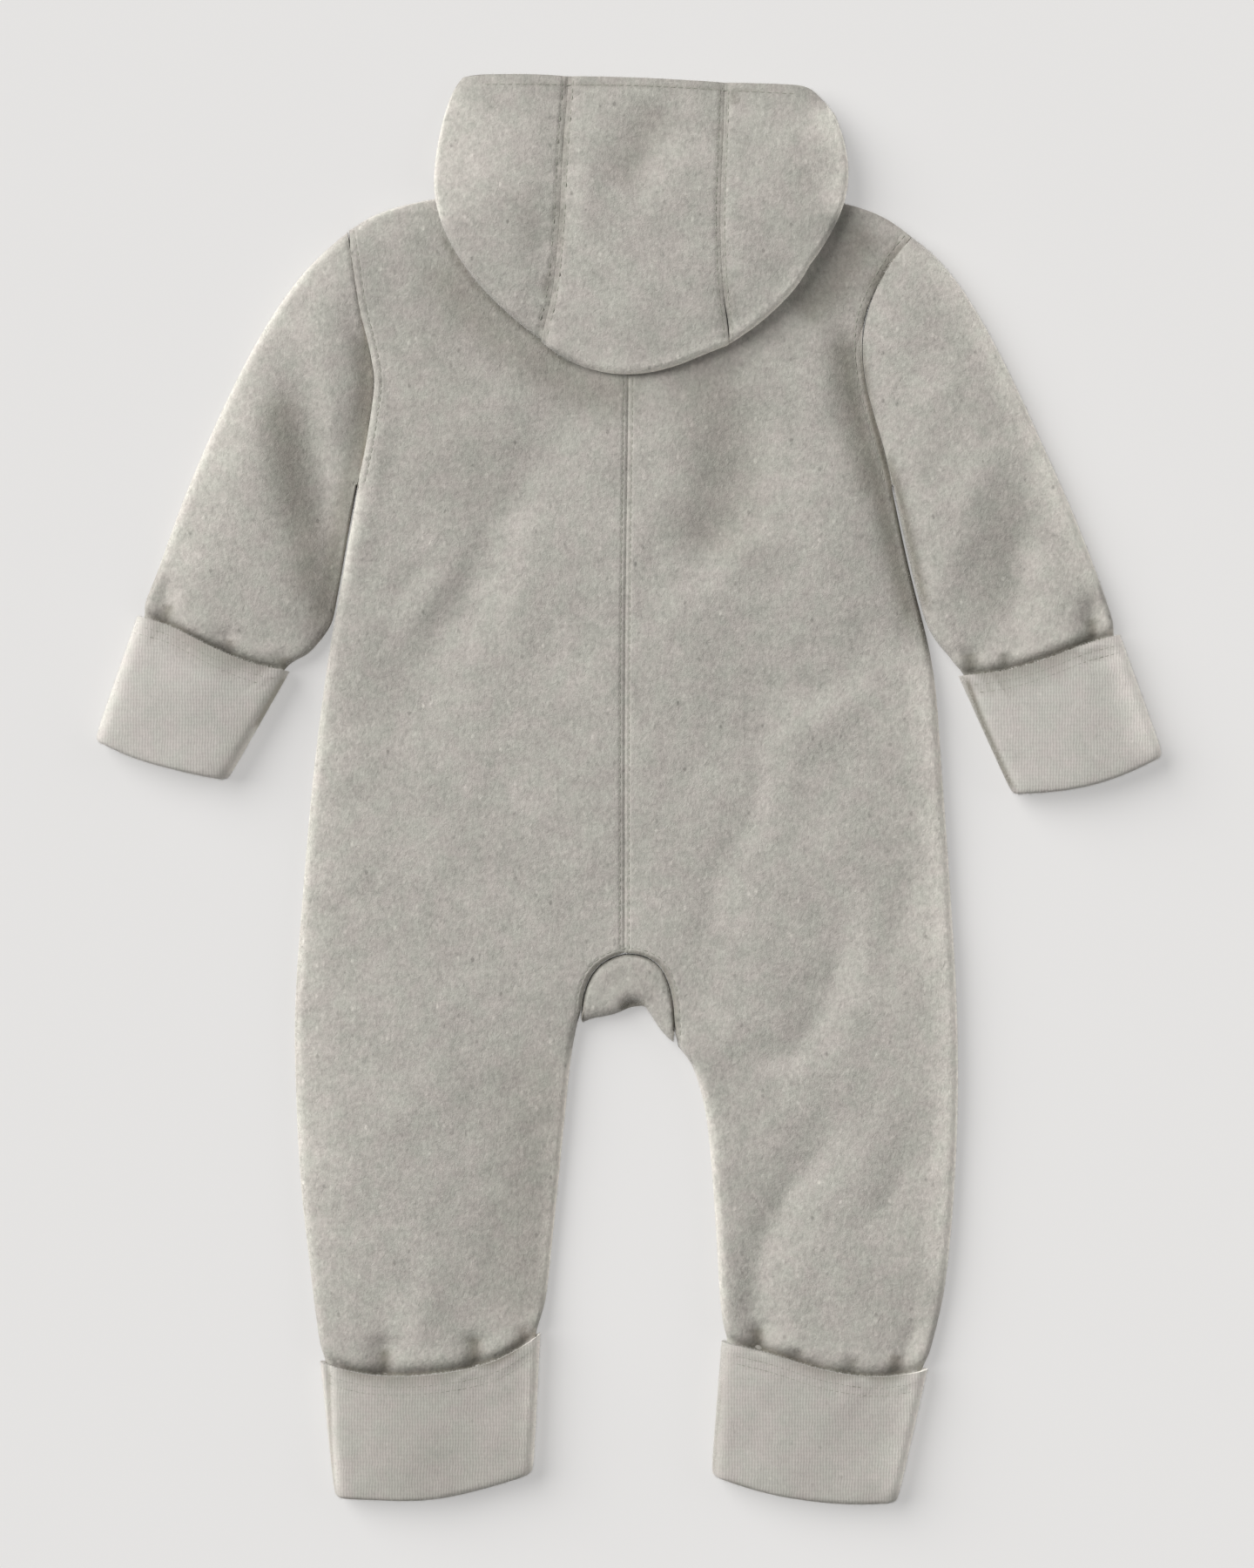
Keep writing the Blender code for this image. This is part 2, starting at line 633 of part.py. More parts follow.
def add_body(side, collection):
    word = "left" if side == LEFT else "right"
    for front in (False, True):
        name = f"{'front' if front else 'back'}_{word}"
        flats = FRONT_FLATS if front else BACK_FLATS
        face, dip = (-1, FRONT_SEAM_DIP) if front else (1, SEAM_DIP)
        sections = body_sections(side, front)
        loops = [panel_loop(s, back_top, front_low, flats, face, dip) for s in sections]
        new_object(name, loops, False, FLEECE, collection)


def add_sleeve(side, collection):
    sections = sleeve_sections(side)
    outer = [ring(s, sleeve_top, sleeve_low, 0.0, SLEEVE_FLATS) for s in sections]
    inner = [ring(s, sleeve_top, sleeve_low, CLOTH, SLEEVE_FLATS) for s in sections]
    name = f"sleeve_{'left' if side == LEFT else 'right'}"
    new_object(name, outer + inner[::-1], True, FLEECE, collection)


def add_cuff(cuff, collection):
    """A cuff: an outer layer, the fold at its lower edge and a return inside it."""
    tall = cuff_height(cuff)
    within = CLOTH + LAYER_GAP
    fold = (within + CLOTH) / 2
    profile = [(tall, CLOTH), (tall, CLOTH / 2), (tall, 0.0)]
    profile += [(height, 0.0) for height in np.linspace(tall * 0.66, fold, 3)]
    for degrees in (135.0, 90.0, 45.0):
        angle = math.radians(degrees)
        profile.append((fold - fold * math.sin(angle), fold + fold * math.cos(angle)))
    profile += [(fold, within + CLOTH), (CUFF_RETURN, within + CLOTH)]
    profile += [(CUFF_RETURN, within), (fold, within), (fold, CLOTH)]
    rings = []
    for height, depth in profile:
        section = Section(cuff_path(cuff, height), 1.0, 1.0, 0.0, 0.0)
        rings.append(ring(section, lambda *_: CUFF_TOP, lambda *_: 0.0, depth, CUFF_FLATS))
    new_object(cuff.name, rings, True, REVERSE, collection)


def add_hood_panel(name, rows, collection):
    """A hood panel: a wall with a sewn face edge and a rim that turns under."""
    loops = []
    for row in rows:
        path = np.array(((row.edge_x, row.edge_y), (row.rim_x, row.rim_y)))
        section = Section(path, 0.0, 1.0, 0.0, row.drop)

        def top(x, y, _cuffed):
            return hood_top(x, y)

        def low(x, y, _cuffed, drop=row.drop):
            top = hood_top(x, y) - drop
            return 2.0 * min(hood_base(y) - RIM_DROP, top - CLOTH - LAYER_GAP) - top

        loops.append(panel_loop(section, top, low, HOOD_FLATS, 1, 0.0))
    new_object(name, loops, False, FLEECE, collection)


def add_folded_layers(name, rows, bottom, layers, collection):
    """Hidden layers as one solid, with a rounded lobe for each at its edges."""
    loops = []
    for row in rows:
        ends = np.array(((row.left_x, row.left_y), (row.right_x, row.right_y)))
        length = path_length(ends)
        above = [path_point(ends, d) for d in np.linspace(2.0, length - 2.0, 9)]
        tops = [hood_base(y) - CLOTH - HOOD_GAP for _, y in above]
        loop = [(*point, top) for point, top in zip(above, tops)]
        loop += lobed_edge(ends[1], (ends[0] - ends[1]) / length, bottom, tops[-1], layers)
        loop += [(*point, bottom) for point in above[::-1]]
        loop += lobed_edge(ends[0], (ends[1] - ends[0]) / length, bottom, tops[0], layers)[::-1]
        loops.append(loop)
    new_object(name, loops, False, FLEECE, collection, flat_ends=True)


def lobed_edge(point, inward, bottom, top, layers):
    """The edge of a stack of folded layers, from its top to its bottom."""
    edge = []
    for step in range(2 * layers + 1):
        reach = LOBE_DEPTH if step % 2 == 0 else 0.0
        height = blend(top, bottom, step / (2 * layers))
        edge.append((*(point + inward * reach), height))
    return edge


def add_gusset(collection):
    """The crotch gusset: one wall from the back, round the fold, to the front."""
    loops = []
    for row in GUSSET:
        path = np.array(((row.seam_x, row.seam_y), (row.fold_x, row.fold_y)))
        section = Section(path, 0.0, 1.0, 0.0, 0.0)
        skins = []
        for depth in (0.0, CLOTH):
            upper = face_points(section, back_top, sleeve_low, depth, 2, 1, gap=0.0)
            lower = face_points(
                section, back_top, sleeve_low, depth, 2, -1, gap=0.0, dip=FRONT_SEAM_DIP
            )
            skins.append(upper + lower[-2::-1])
        loops.append(skins[0] + skins[1][::-1])
    new_object("crotch_gusset", loops, False, FLEECE, collection)


def add_placket(collection):
    """The button band down the front, between the two front panels."""
    loops = []
    levels = list(np.linspace(PLACKET_TOP, PLACKET_SHOULDER, 12)) + [PLACKET_TIP]
    for y in levels:
        half = PLACKET_WIDTH / 2 - 0.2 if y >= PLACKET_SHOULDER else 1.2
        across = centre_x(y) + np.linspace(-half, half, 5)
        outer = [(x, y, front_low(x, y, 0.0)) for x in across]
        inner = [(x, y, z + CLOTH) for x, y, z in outer]
        loops.append(outer + inner[::-1])
    new_object("front_placket", loops, False, FLEECE, collection)


def add_button(number, collection):
    """A plain turned button: a disc with a raised rim, its face on the floor."""
    name = f"button_{number + 1}"
    rim = 1.6
    profile = (
        (0.0, BUTTON_HEIGHT),
        (BUTTON_RADIUS - 0.5, BUTTON_HEIGHT),
        (BUTTON_RADIUS, BUTTON_HEIGHT / 2),
        (BUTTON_RADIUS - 0.5, 0.0),
        (BUTTON_RADIUS - rim, 0.0),
        (BUTTON_RADIUS - rim - 0.6, 0.4),
        (0.0, 0.4),
    )
    mesh = bpy.data.meshes.new(name)
    points = [(x * MM, 0.0, z * MM) for x, z in profile]
    mesh.from_pydata(points, [(k, k + 1) for k in range(len(points) - 1)], [])
    mesh.materials.append(new_material(name, HORN))
    button = bpy.data.objects.new(name, mesh)
    y = BUTTON_FIRST - number * BUTTON_PITCH
    button.location = (0.0, y * MM, 0.0)
    collection.objects.link(button)
    turn = button.modifiers.new("turn", "SCREW")
    turn.steps = turn.render_steps = 16
    turn.use_merge_vertices = True
    turn.merge_threshold = 0.00001
    return button


def clear_scene():
    for old in list(bpy.data.objects):
        bpy.data.objects.remove(old, do_unlink=True)


def main():
    clear_scene()
    collection = bpy.data.collections.new(OBJECT)
    bpy.context.scene.collection.children.link(collection)
    for side in (LEFT, RIGHT):
        add_body(side, collection)
        add_sleeve(side, collection)
        add_cuff(HAND_CUFFS[side], collection)
        add_cuff(ANKLE_CUFFS[side], collection)
    add_gusset(collection)
    add_placket(collection)
    for number in range(BUTTON_COUNT):
        add_button(number, collection)
    for name, rows in (
        ("hood_left", HOOD_LEFT),
        ("hood_centre", HOOD_CENTRE),
        ("hood_right", HOOD_RIGHT),
    ):
        add_hood_panel(name, rows, collection)
    add_folded_layers("hood_under", HOOD_UNDER, UNDER_HOOD + LAYER_GAP, 1, collection)
    add_folded_layers("hood_brow", HOOD_BROW, 0.0, 3, collection)


main()
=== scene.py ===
"""The look of a baby's hooded fleece overall that lies flat on its front, back up.

Every cut piece of cloth is a finer copy of its solid.  Soft troughs and ridges are
shaped into it, its seams are drawn together, and rows of stitches are laid on it.
Lengths in the tables are millimetres on the plan of the garment: x runs to the
wearer's right, y up the back towards the hood, and z up from the floor.
"""

import logging
import math
from dataclasses import dataclass, field
from enum import Enum
from functools import cache
from typing import Callable, Optional

import bpy
import numpy as np
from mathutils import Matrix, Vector
from mathutils.bvhtree import BVHTree


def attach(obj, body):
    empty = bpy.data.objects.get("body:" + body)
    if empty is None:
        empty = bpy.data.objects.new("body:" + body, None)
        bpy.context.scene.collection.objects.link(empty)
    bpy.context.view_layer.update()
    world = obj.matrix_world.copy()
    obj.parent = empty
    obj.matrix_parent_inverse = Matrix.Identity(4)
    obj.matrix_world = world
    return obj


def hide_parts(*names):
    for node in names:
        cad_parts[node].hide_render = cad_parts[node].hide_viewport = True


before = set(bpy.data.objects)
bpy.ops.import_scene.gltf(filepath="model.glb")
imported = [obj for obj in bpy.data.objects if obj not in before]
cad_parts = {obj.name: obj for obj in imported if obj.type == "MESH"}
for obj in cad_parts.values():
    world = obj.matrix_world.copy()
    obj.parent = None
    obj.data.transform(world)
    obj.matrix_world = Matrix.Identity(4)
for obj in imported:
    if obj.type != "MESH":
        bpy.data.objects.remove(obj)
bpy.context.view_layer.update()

MM = 0.001
LOG = logging.getLogger("overall")
# The attributes that tell the materials where the seams' darker line and painted shade darken the wool, and
# where painted highlight lightens it
SEAM_TONE_AND_SHADE = "pressed_pile"
# Painted highlight along the turned edges and beside the hood's lower rim
PAINTED_HIGHLIGHT = "raised_pile"
# How far apart the points of a finely read line are
LINE_STEP = 1.0

Place = tuple[float, float]


class Lie(Enum):
    """How a piece of cloth lies."""

    LAID = "laid"
    FOLDED = "folded"


class Slot(Enum):
    """The names of the material slots."""

    FLEECE = "fleece"
    REVERSE = "reverse"
    BUTTON = "button"


# Plane geometry


def smoothstep(low: float, high: float, value: np.ndarray) -> np.ndarray:
    """An S-shaped rise: 0 below low and 1 above high."""
    share = np.clip((value - low) / (high - low), 0.0, 1.0)
    return share * share * (3.0 - 2.0 * share)


def walked_along(line: np.ndarray) -> np.ndarray:
    """How far along a line each of its points lies."""
    return np.concatenate([[0.0], np.cumsum(np.linalg.norm(np.diff(line, axis=0), axis=1))])


def smoothed(points: tuple[Place, ...], step: float) -> np.ndarray:
    """A smooth line through a few places.

    Args:
        points: places on the plan.
        step: about how far apart the returned points are.

    Returns:
        One row for each point of the line.
    """
    knots = np.array(points, float)
    at = walked_along(knots)
    wanted = np.linspace(0.0, at[-1], max(2, int(at[-1] / step) + 1))
    if len(knots) == 2:
        return knots[0] + (wanted / at[-1])[:, None] * (knots[1] - knots[0])
    slopes = np.gradient(knots, at, axis=0)
    k = np.clip(np.searchsorted(at, wanted, side="right") - 1, 0, len(at) - 2)
    span = (at[k + 1] - at[k])[:, None]
    t = (wanted - at[k])[:, None] / span
    return (
        (2 * t**3 - 3 * t**2 + 1) * knots[k]
        + (t**3 - 2 * t**2 + t) * span * slopes[k]
        + (3 * t**2 - 2 * t**3) * knots[k + 1]
        + (t**3 - t**2) * span * slopes[k + 1]
    )


def at_shares(points: tuple[Place, ...], shares: np.ndarray) -> np.ndarray:
    """Reads a smooth line at given shares of its length.

    Args:
        points: places that the line runs through.
        shares: from 0 at its start to 1 at its end.

    Returns:
        One row of x and y for each share.
    """
    line = smoothed(points, LINE_STEP)
    walked = walked_along(line)
    return np.column_stack([np.interp(shares * walked[-1], walked, line[:, k]) for k in (0, 1)])


@dataclass(frozen=True)
class Reading:
    """Where places lie beside a run.

    Fields: distance, positive to the left of the run; share of the run's length;
    length walked along it; away, the vector from the nearest point of the run.
    """

    distance: np.ndarray
    share: np.ndarray
    walked: np.ndarray
    away: np.ndarray


@dataclass(frozen=True)
class Run:
    """A smooth line on the plan, through a few places."""

    points: tuple[Place, ...]

    STEP = 5.0

    def read(self, places: np.ndarray) -> Reading:
        """Measures places against the run.

        Args:
            places: one row of x and y for each place.

        Returns:
            The distances, shares and lengths of the nearest points.
        """
        line = smoothed(self.points, self.STEP)
        nearest = np.full(len(places), np.inf)
        side = np.ones(len(places))
        walked = np.zeros(len(places))
        away = np.zeros((len(places), 2))
        before = 0.0
        for start, end in zip(line[:-1], line[1:]):
            run = end - start
            length = float(np.linalg.norm(run))
            off = places - start
            share = np.clip(off @ run / length**2, 0.0, 1.0)
            gap = off - share[:, None] * run
            distance = np.hypot(gap[:, 0], gap[:, 1])
            closer = distance < nearest
            nearest[closer] = distance[closer]
            side[closer] = np.where(run[0] * gap[closer, 1] >= run[1] * gap[closer, 0], 1.0, -1.0)
            walked[closer] = before + share[closer] * length
            away[closer] = gap[closer]
            before += length
        return Reading(nearest * side, walked / before, walked, away)


@dataclass(frozen=True)
class Crease:
    """A soft trough or ridge in the cloth.

    Fields: run; width, the half width; height, below zero for a trough; start and
    end, the share of the height left at each end; lean, above zero where the side
    to the left of the run is the wide one.
    """

    run: tuple[Place, ...]
    width: float
    height: float
    start: float = 0.0
    end: float = 0.0
    lean: float = 0.0

    REACH = 2.6
    FADE = 0.4

    def lift(self, places: np.ndarray) -> np.ndarray:
        """Works out what the crease adds to the height of the cloth.

        Args:
            places: one row of x and y for each place.

        Returns:
            The rise at each place, in millimetres.
        """
        total = np.zeros(len(places))
        knots = np.array(self.run, float)
        reach = self.REACH * self.width * (1.0 + abs(self.lean))
        inside = np.all((places > knots.min(0) - reach) & (places < knots.max(0) + reach), axis=1)
        if not inside.any():
            return total
        reading = Run(self.run).read(places[inside])
        wide = self.width * np.where(reading.distance > 0, 1.0 + self.lean, 1.0 - self.lean)
        rise = self.start + (1.0 - self.start) * smoothstep(0.0, self.FADE, reading.share)
        fall = self.end + (1.0 - self.end) * smoothstep(0.0, self.FADE, 1.0 - reading.share)
        total[inside] = self.height * rise * fall * np.exp(-((reading.distance / wide) ** 2))
        return total


@dataclass(frozen=True)
class Unevenness:
    """A seeded field of soft humps and hollows.

    Fields: pitch, from one hump to the next; height, of the highest; seed; turn, how
    far the field is turned, in radians.
    """

    pitch: float
    height: float
    seed: int
    turn: float = 0.5

    CELLS = 256

    def lift(self, places: np.ndarray) -> np.ndarray:
        """Works out what the field adds to the height of the cloth.

        Args:
            places: one row of x and y for each place.

        Returns:
            The rise at each place, in millimetres.
        """
        heights = np.random.default_rng(self.seed).uniform(-1.0, 1.0, (self.CELLS, self.CELLS))
        turned = places @ np.array(
            ((math.cos(self.turn), -math.sin(self.turn)), (math.sin(self.turn), math.cos(self.turn)))
        )
        at = turned / self.pitch + self.CELLS / 2
        cell = np.floor(at).astype(int)
        share = at - cell
        share = share**3 * (share * (share * 6.0 - 15.0) + 10.0)
        x, y = cell[:, 0] % self.CELLS, cell[:, 1] % self.CELLS
        far_x, far_y = (x + 1) % self.CELLS, (y + 1) % self.CELLS
        near = heights[x, y] * (1.0 - share[:, 0]) + heights[far_x, y] * share[:, 0]
        far = heights[x, far_y] * (1.0 - share[:, 0]) + heights[far_x, far_y] * share[:, 0]
        return self.height * (near * (1.0 - share[:, 1]) + far * share[:, 1])


@dataclass(frozen=True)
class Shift:
    """Moves the cloth beside one line sideways, so that it follows another one.

    Fields: line, where the cloth runs now; onto, where it shall run; reach, how far
    beside the line the cloth comes along.
    """

    line: tuple[Place, ...]
    onto: tuple[Place, ...]
    reach: float = 22.0

    def move(self, points: np.ndarray) -> np.ndarray:
        """Moves the points that lie near the line.

        Args:
            points: x, y and z of each point.

        Returns:
            The points, moved.
        """
        moved = points.copy()
        reading = Run(self.line).read(points[:, :2])
        aside = at_shares(self.onto, reading.share) - at_shares(self.line, reading.share)
        moved[:, :2] += aside * np.exp(-((reading.distance / self.reach) ** 2))[:, None]
        return moved


@dataclass(frozen=True)
class Seam:
    """A sewn line: its two edges drawn together, with a groove, rows and puckers.

    Fields: run; gap, how far each edge is drawn in; groove and groove_width, the
    depth and half width of the line; rows, how far to the left of the line its rows
    of stitches lie, and row_depth; pucker, pucker_pitch and spread, the height,
    length and reach of the small waves; band and band_width, the depth and half
    width of the sunken strip; tint and tint_width, how dark and how wide the seam is
    painted, partly its own darker line and partly painted shade.
    """

    run: tuple[Place, ...]
    gap: float = 0.35
    groove: float = 0.8
    groove_width: float = 1.0
    rows: tuple[float, ...] = ()
    row_depth: float = 0.3
    pucker: float = 0.12
    pucker_pitch: float = 9.0
    spread: float = 6.0
    band: float = 0.0
    band_width: float = 3.0
    tint: float = 0.5
    tint_width: float = 1.8

    # From how far away an edge is drawn in, and how near to the line it may come
    DRAWN = 3.0
    LEAST = 0.03
    TINY = 1e-6
    ROW_WIDTH = 0.6
    # How the puckers stray from an even pitch and slant, and where they begin
    STRAY = 0.35
    STRAY_PACE = 2.3
    SLANT = 0.12
    WAVES_FROM = (0.3, 2.0)

    def shape(self, points: np.ndarray, weight: np.ndarray) -> np.ndarray:
        """Draws the points near the seam together and down.

        Args:
            points: x, y and z of each point.
            weight: how much of the lift each point takes.

        Returns:
            The moved points.
        """
        moved = points.copy()
        reading = Run(self.run).read(points[:, :2])
        near = np.abs(reading.distance)
        within = (reading.share > 0.0) & (reading.share < 1.0)
        pull = self.gap * np.clip(1.0 - near / self.DRAWN, 0.0, 1.0) * within
        pull = np.clip(pull, 0.0, np.maximum(near - self.LEAST, 0.0))
        length = np.maximum(near, self.TINY)
        moved[:, :2] -= reading.away / length[:, None] * pull[:, None]
        near = near - pull
        lift = -self.groove * np.exp(-((near / self.groove_width) ** 2))
        lift -= self.band * np.exp(-((near / self.band_width) ** 4))
        for row in self.rows:
            lift -= self.row_depth * np.exp(-(((reading.distance - row) / self.ROW_WIDTH) ** 2))
        phase = reading.walked / self.pucker_pitch
        stray = self.STRAY * np.sin(phase * self.STRAY_PACE)
        wave = np.sin(2.0 * math.pi * (phase + stray) + reading.distance * self.SLANT)
        beside = np.exp(-((near / self.spread) ** 2)) * smoothstep(*self.WAVES_FROM, near)
        waves = self.pucker * wave * beside
        moved[:, 2] += weight * within * (lift + waves)
        return moved

    def painted_share(self, places: np.ndarray) -> np.ndarray:
        """Works out how dark the seam is painted: its own darker line and painted shade in its groove.

        Args:
            places: one row of x and y for each place.

        Returns:
            A share at each place, from 0 to 1.
        """
        reading = Run(self.run).read(places)
        within = (reading.share > 0.0) & (reading.share < 1.0)
        return self.tint * within * np.exp(-((reading.distance / self.tint_width) ** 4))


@dataclass(frozen=True)
class Shade:
    """A strip of painted shade beside a fold, or of painted highlight at an edge.

    Fields: run; width, the half width; share, how strong the strip is in its middle.
    """

    run: tuple[Place, ...]
    width: float
    share: float

    FADE = 0.15

    def painted_share(self, places: np.ndarray) -> np.ndarray:
        """Works out the strip, which fades towards both ends.

        Args:
            places: one row of x and y for each place.

        Returns:
            A share at each place, from 0 to 1.
        """
        reading = Run(self.run).read(places)
        ends = smoothstep(0.0, self.FADE, reading.share) * smoothstep(0.0, self.FADE, 1.0 - reading.share)
        return self.share * ends * np.exp(-((reading.distance / self.width) ** 2))


# Blender helpers


def select_only(piece: bpy.types.Object) -> None:
    """Leaves one object selected and active.

    Args:
        piece: the object.
    """
    for other in list(bpy.context.selected_objects):
        other.select_set(False)
    piece.select_set(True)
    bpy.context.view_layer.objects.active = piece


def points_of(mesh: bpy.types.Mesh) -> np.ndarray:
    """Reads the vertices of a mesh.

    Args:
        mesh: the mesh.

    Returns:
        One row of x, y and z for each vertex, in millimetres.
    """
    flat = np.zeros(len(mesh.vertices) * 3)
    mesh.vertices.foreach_get("co", flat)
    return flat.reshape(-1, 3) / MM


def put_points(mesh: bpy.types.Mesh, points: np.ndarray) -> None:
    """Writes vertices given in millimetres to a mesh."""
    mesh.vertices.foreach_set("co", (points * MM).ravel())
    mesh.update()


# Finishes


class Shader:
    """A small builder for node trees, for a material or for a group."""

    def __init__(self, tree: bpy.types.NodeTree) -> None:
        """Keeps the tree that nodes are added to."""
        self.tree = tree

    def node(self, kind: str, **settings: object) -> bpy.types.Node:
        """Adds a node.

        Args:
            kind: the node's type, without its prefix.
            settings: properties of the node, or values of its inputs by name.

        Returns:
            The new node.
        """
        made = self.tree.nodes.new("ShaderNode" + kind)
        for name, value in settings.items():
            socket = made.inputs.get(name.replace("_", " "))
            if socket is not None and not hasattr(made, name):
                socket.default_value = value
            else:
                setattr(made, name, value)
        return made

    def link(self, source: bpy.types.NodeSocket, target: bpy.types.NodeSocket) -> None:
        """Joins an output to an input."""
        self.tree.links.new(source, target)

    def give(self, value: object, target: bpy.types.NodeSocket) -> None:
        """Joins an output to an input, or writes a number or colour to it.

        Args:
            value: the output, number or colour.
            target: the input.
        """
        if isinstance(value, bpy.types.NodeSocket):
            self.link(value, target)
        else:
            target.default_value = value

    def math(self, operation: str, first: object, second: object = 0.0) -> bpy.types.NodeSocket:
        """Adds a math node.

        Args:
            operation: its operation.
            first: an output or a number.
            second: the same, for an operation on two values.

        Returns:
            The node's output.
        """
        made = self.node("Math", operation=operation)
        self.give(first, made.inputs[0])
        self.give(second, made.inputs[1])
        return made.outputs[0]

    def scaled(self, vector: bpy.types.NodeSocket, factor: object) -> bpy.types.NodeSocket:
        """Multiplies a colour by one factor.

        Args:
            vector: the colour.
            factor: an output or a number.

        Returns:
            The scaled colour.
        """
        made = self.node("VectorMath", operation="SCALE")
        self.link(vector, made.inputs[0])
        self.give(factor, made.inputs["Scale"])
        return made.outputs[0]

    def tinted(self, vector: bpy.types.NodeSocket, tint: object) -> bpy.types.NodeSocket:
        """Multiplies a colour by another one.

        Args:
            vector: the colour.
            tint: an output or a colour.

        Returns:
            The tinted colour.
        """
        made = self.node("VectorMath", operation="MULTIPLY")
        self.link(vector, made.inputs[0])
        self.give(tint, made.inputs[1])
        return made.outputs[0]

    def mixed(self, share: bpy.types.NodeSocket, first: object, second: object) -> bpy.types.NodeSocket:
        """Mixes two colours.

        Args:
            share: the share of the second colour.
            first: an output or a colour.
            second: the same.

        Returns:
            The mixed colour.
        """
        made = self.node("Mix", data_type="VECTOR")
        self.link(share, made.inputs[0])
        self.give(first, made.inputs[4])
        self.give(second, made.inputs[5])
        return made.outputs[1]

    def noise(
        self, vector: bpy.types.NodeSocket, scale: object, detail: float, roughness: float,
        distortion: float = 0.0,
    ) -> bpy.types.NodeSocket:
        """Adds a noise texture.

        Args:
            vector: where it is read.
            scale: an output or a number.
            detail: its octaves.
            roughness: how strong the fine ones are.
            distortion: how far it is warped.

        Returns:
            Its value.
        """
        made = self.node("TexNoise", Detail=detail, Roughness=roughness, Distortion=distortion)
        self.link(vector, made.inputs["Vector"])
        self.give(scale, made.inputs["Scale"])
        return made.outputs[0]

    def ranged(
        self, value: bpy.types.NodeSocket, low: float, high: float, kind: str = "LINEAR",
    ) -> bpy.types.NodeSocket:
        """Stretches a value to the range from 0 to 1.

        Args:
            value: the value.
            low: what becomes 0.
            high: what becomes 1.
            kind: how it rises between.

        Returns:
            The stretched value.
        """
        made = self.node("MapRange", interpolation_type=kind)
        self.link(value, made.inputs["Value"])
        made.inputs["From Min"].default_value = low
        made.inputs["From Max"].default_value = high
        return made.outputs[0]


@dataclass(frozen=True)
class Socket:
    """One input or output of a shader group."""

    name: str
    kind: str
    output: bool = False
    value: object = None


def new_group(name: str, sockets: tuple[Socket, ...]) -> tuple[bpy.types.NodeTree, Shader, dict, dict]:
    """Makes an empty shader group.

    Args:
        name: the group's name.
        sockets: its inputs and outputs.

    Returns:
        The group, a builder for it, its inputs and its outputs by name.
    """
    tree = bpy.data.node_groups.new(name, "ShaderNodeTree")
    for socket in sockets:
        made = tree.interface.new_socket(
            socket.name,
            in_out="OUTPUT" if socket.output else "INPUT",
            socket_type="NodeSocket" + socket.kind,
        )
        if socket.value is not None:
            made.default_value = socket.value
    shader = Shader(tree)
    inputs = tree.nodes.new("NodeGroupInput")
    outputs = tree.nodes.new("NodeGroupOutput")
    return tree, shader, {s.name: s for s in inputs.outputs}, {s.name: s for s in outputs.inputs}


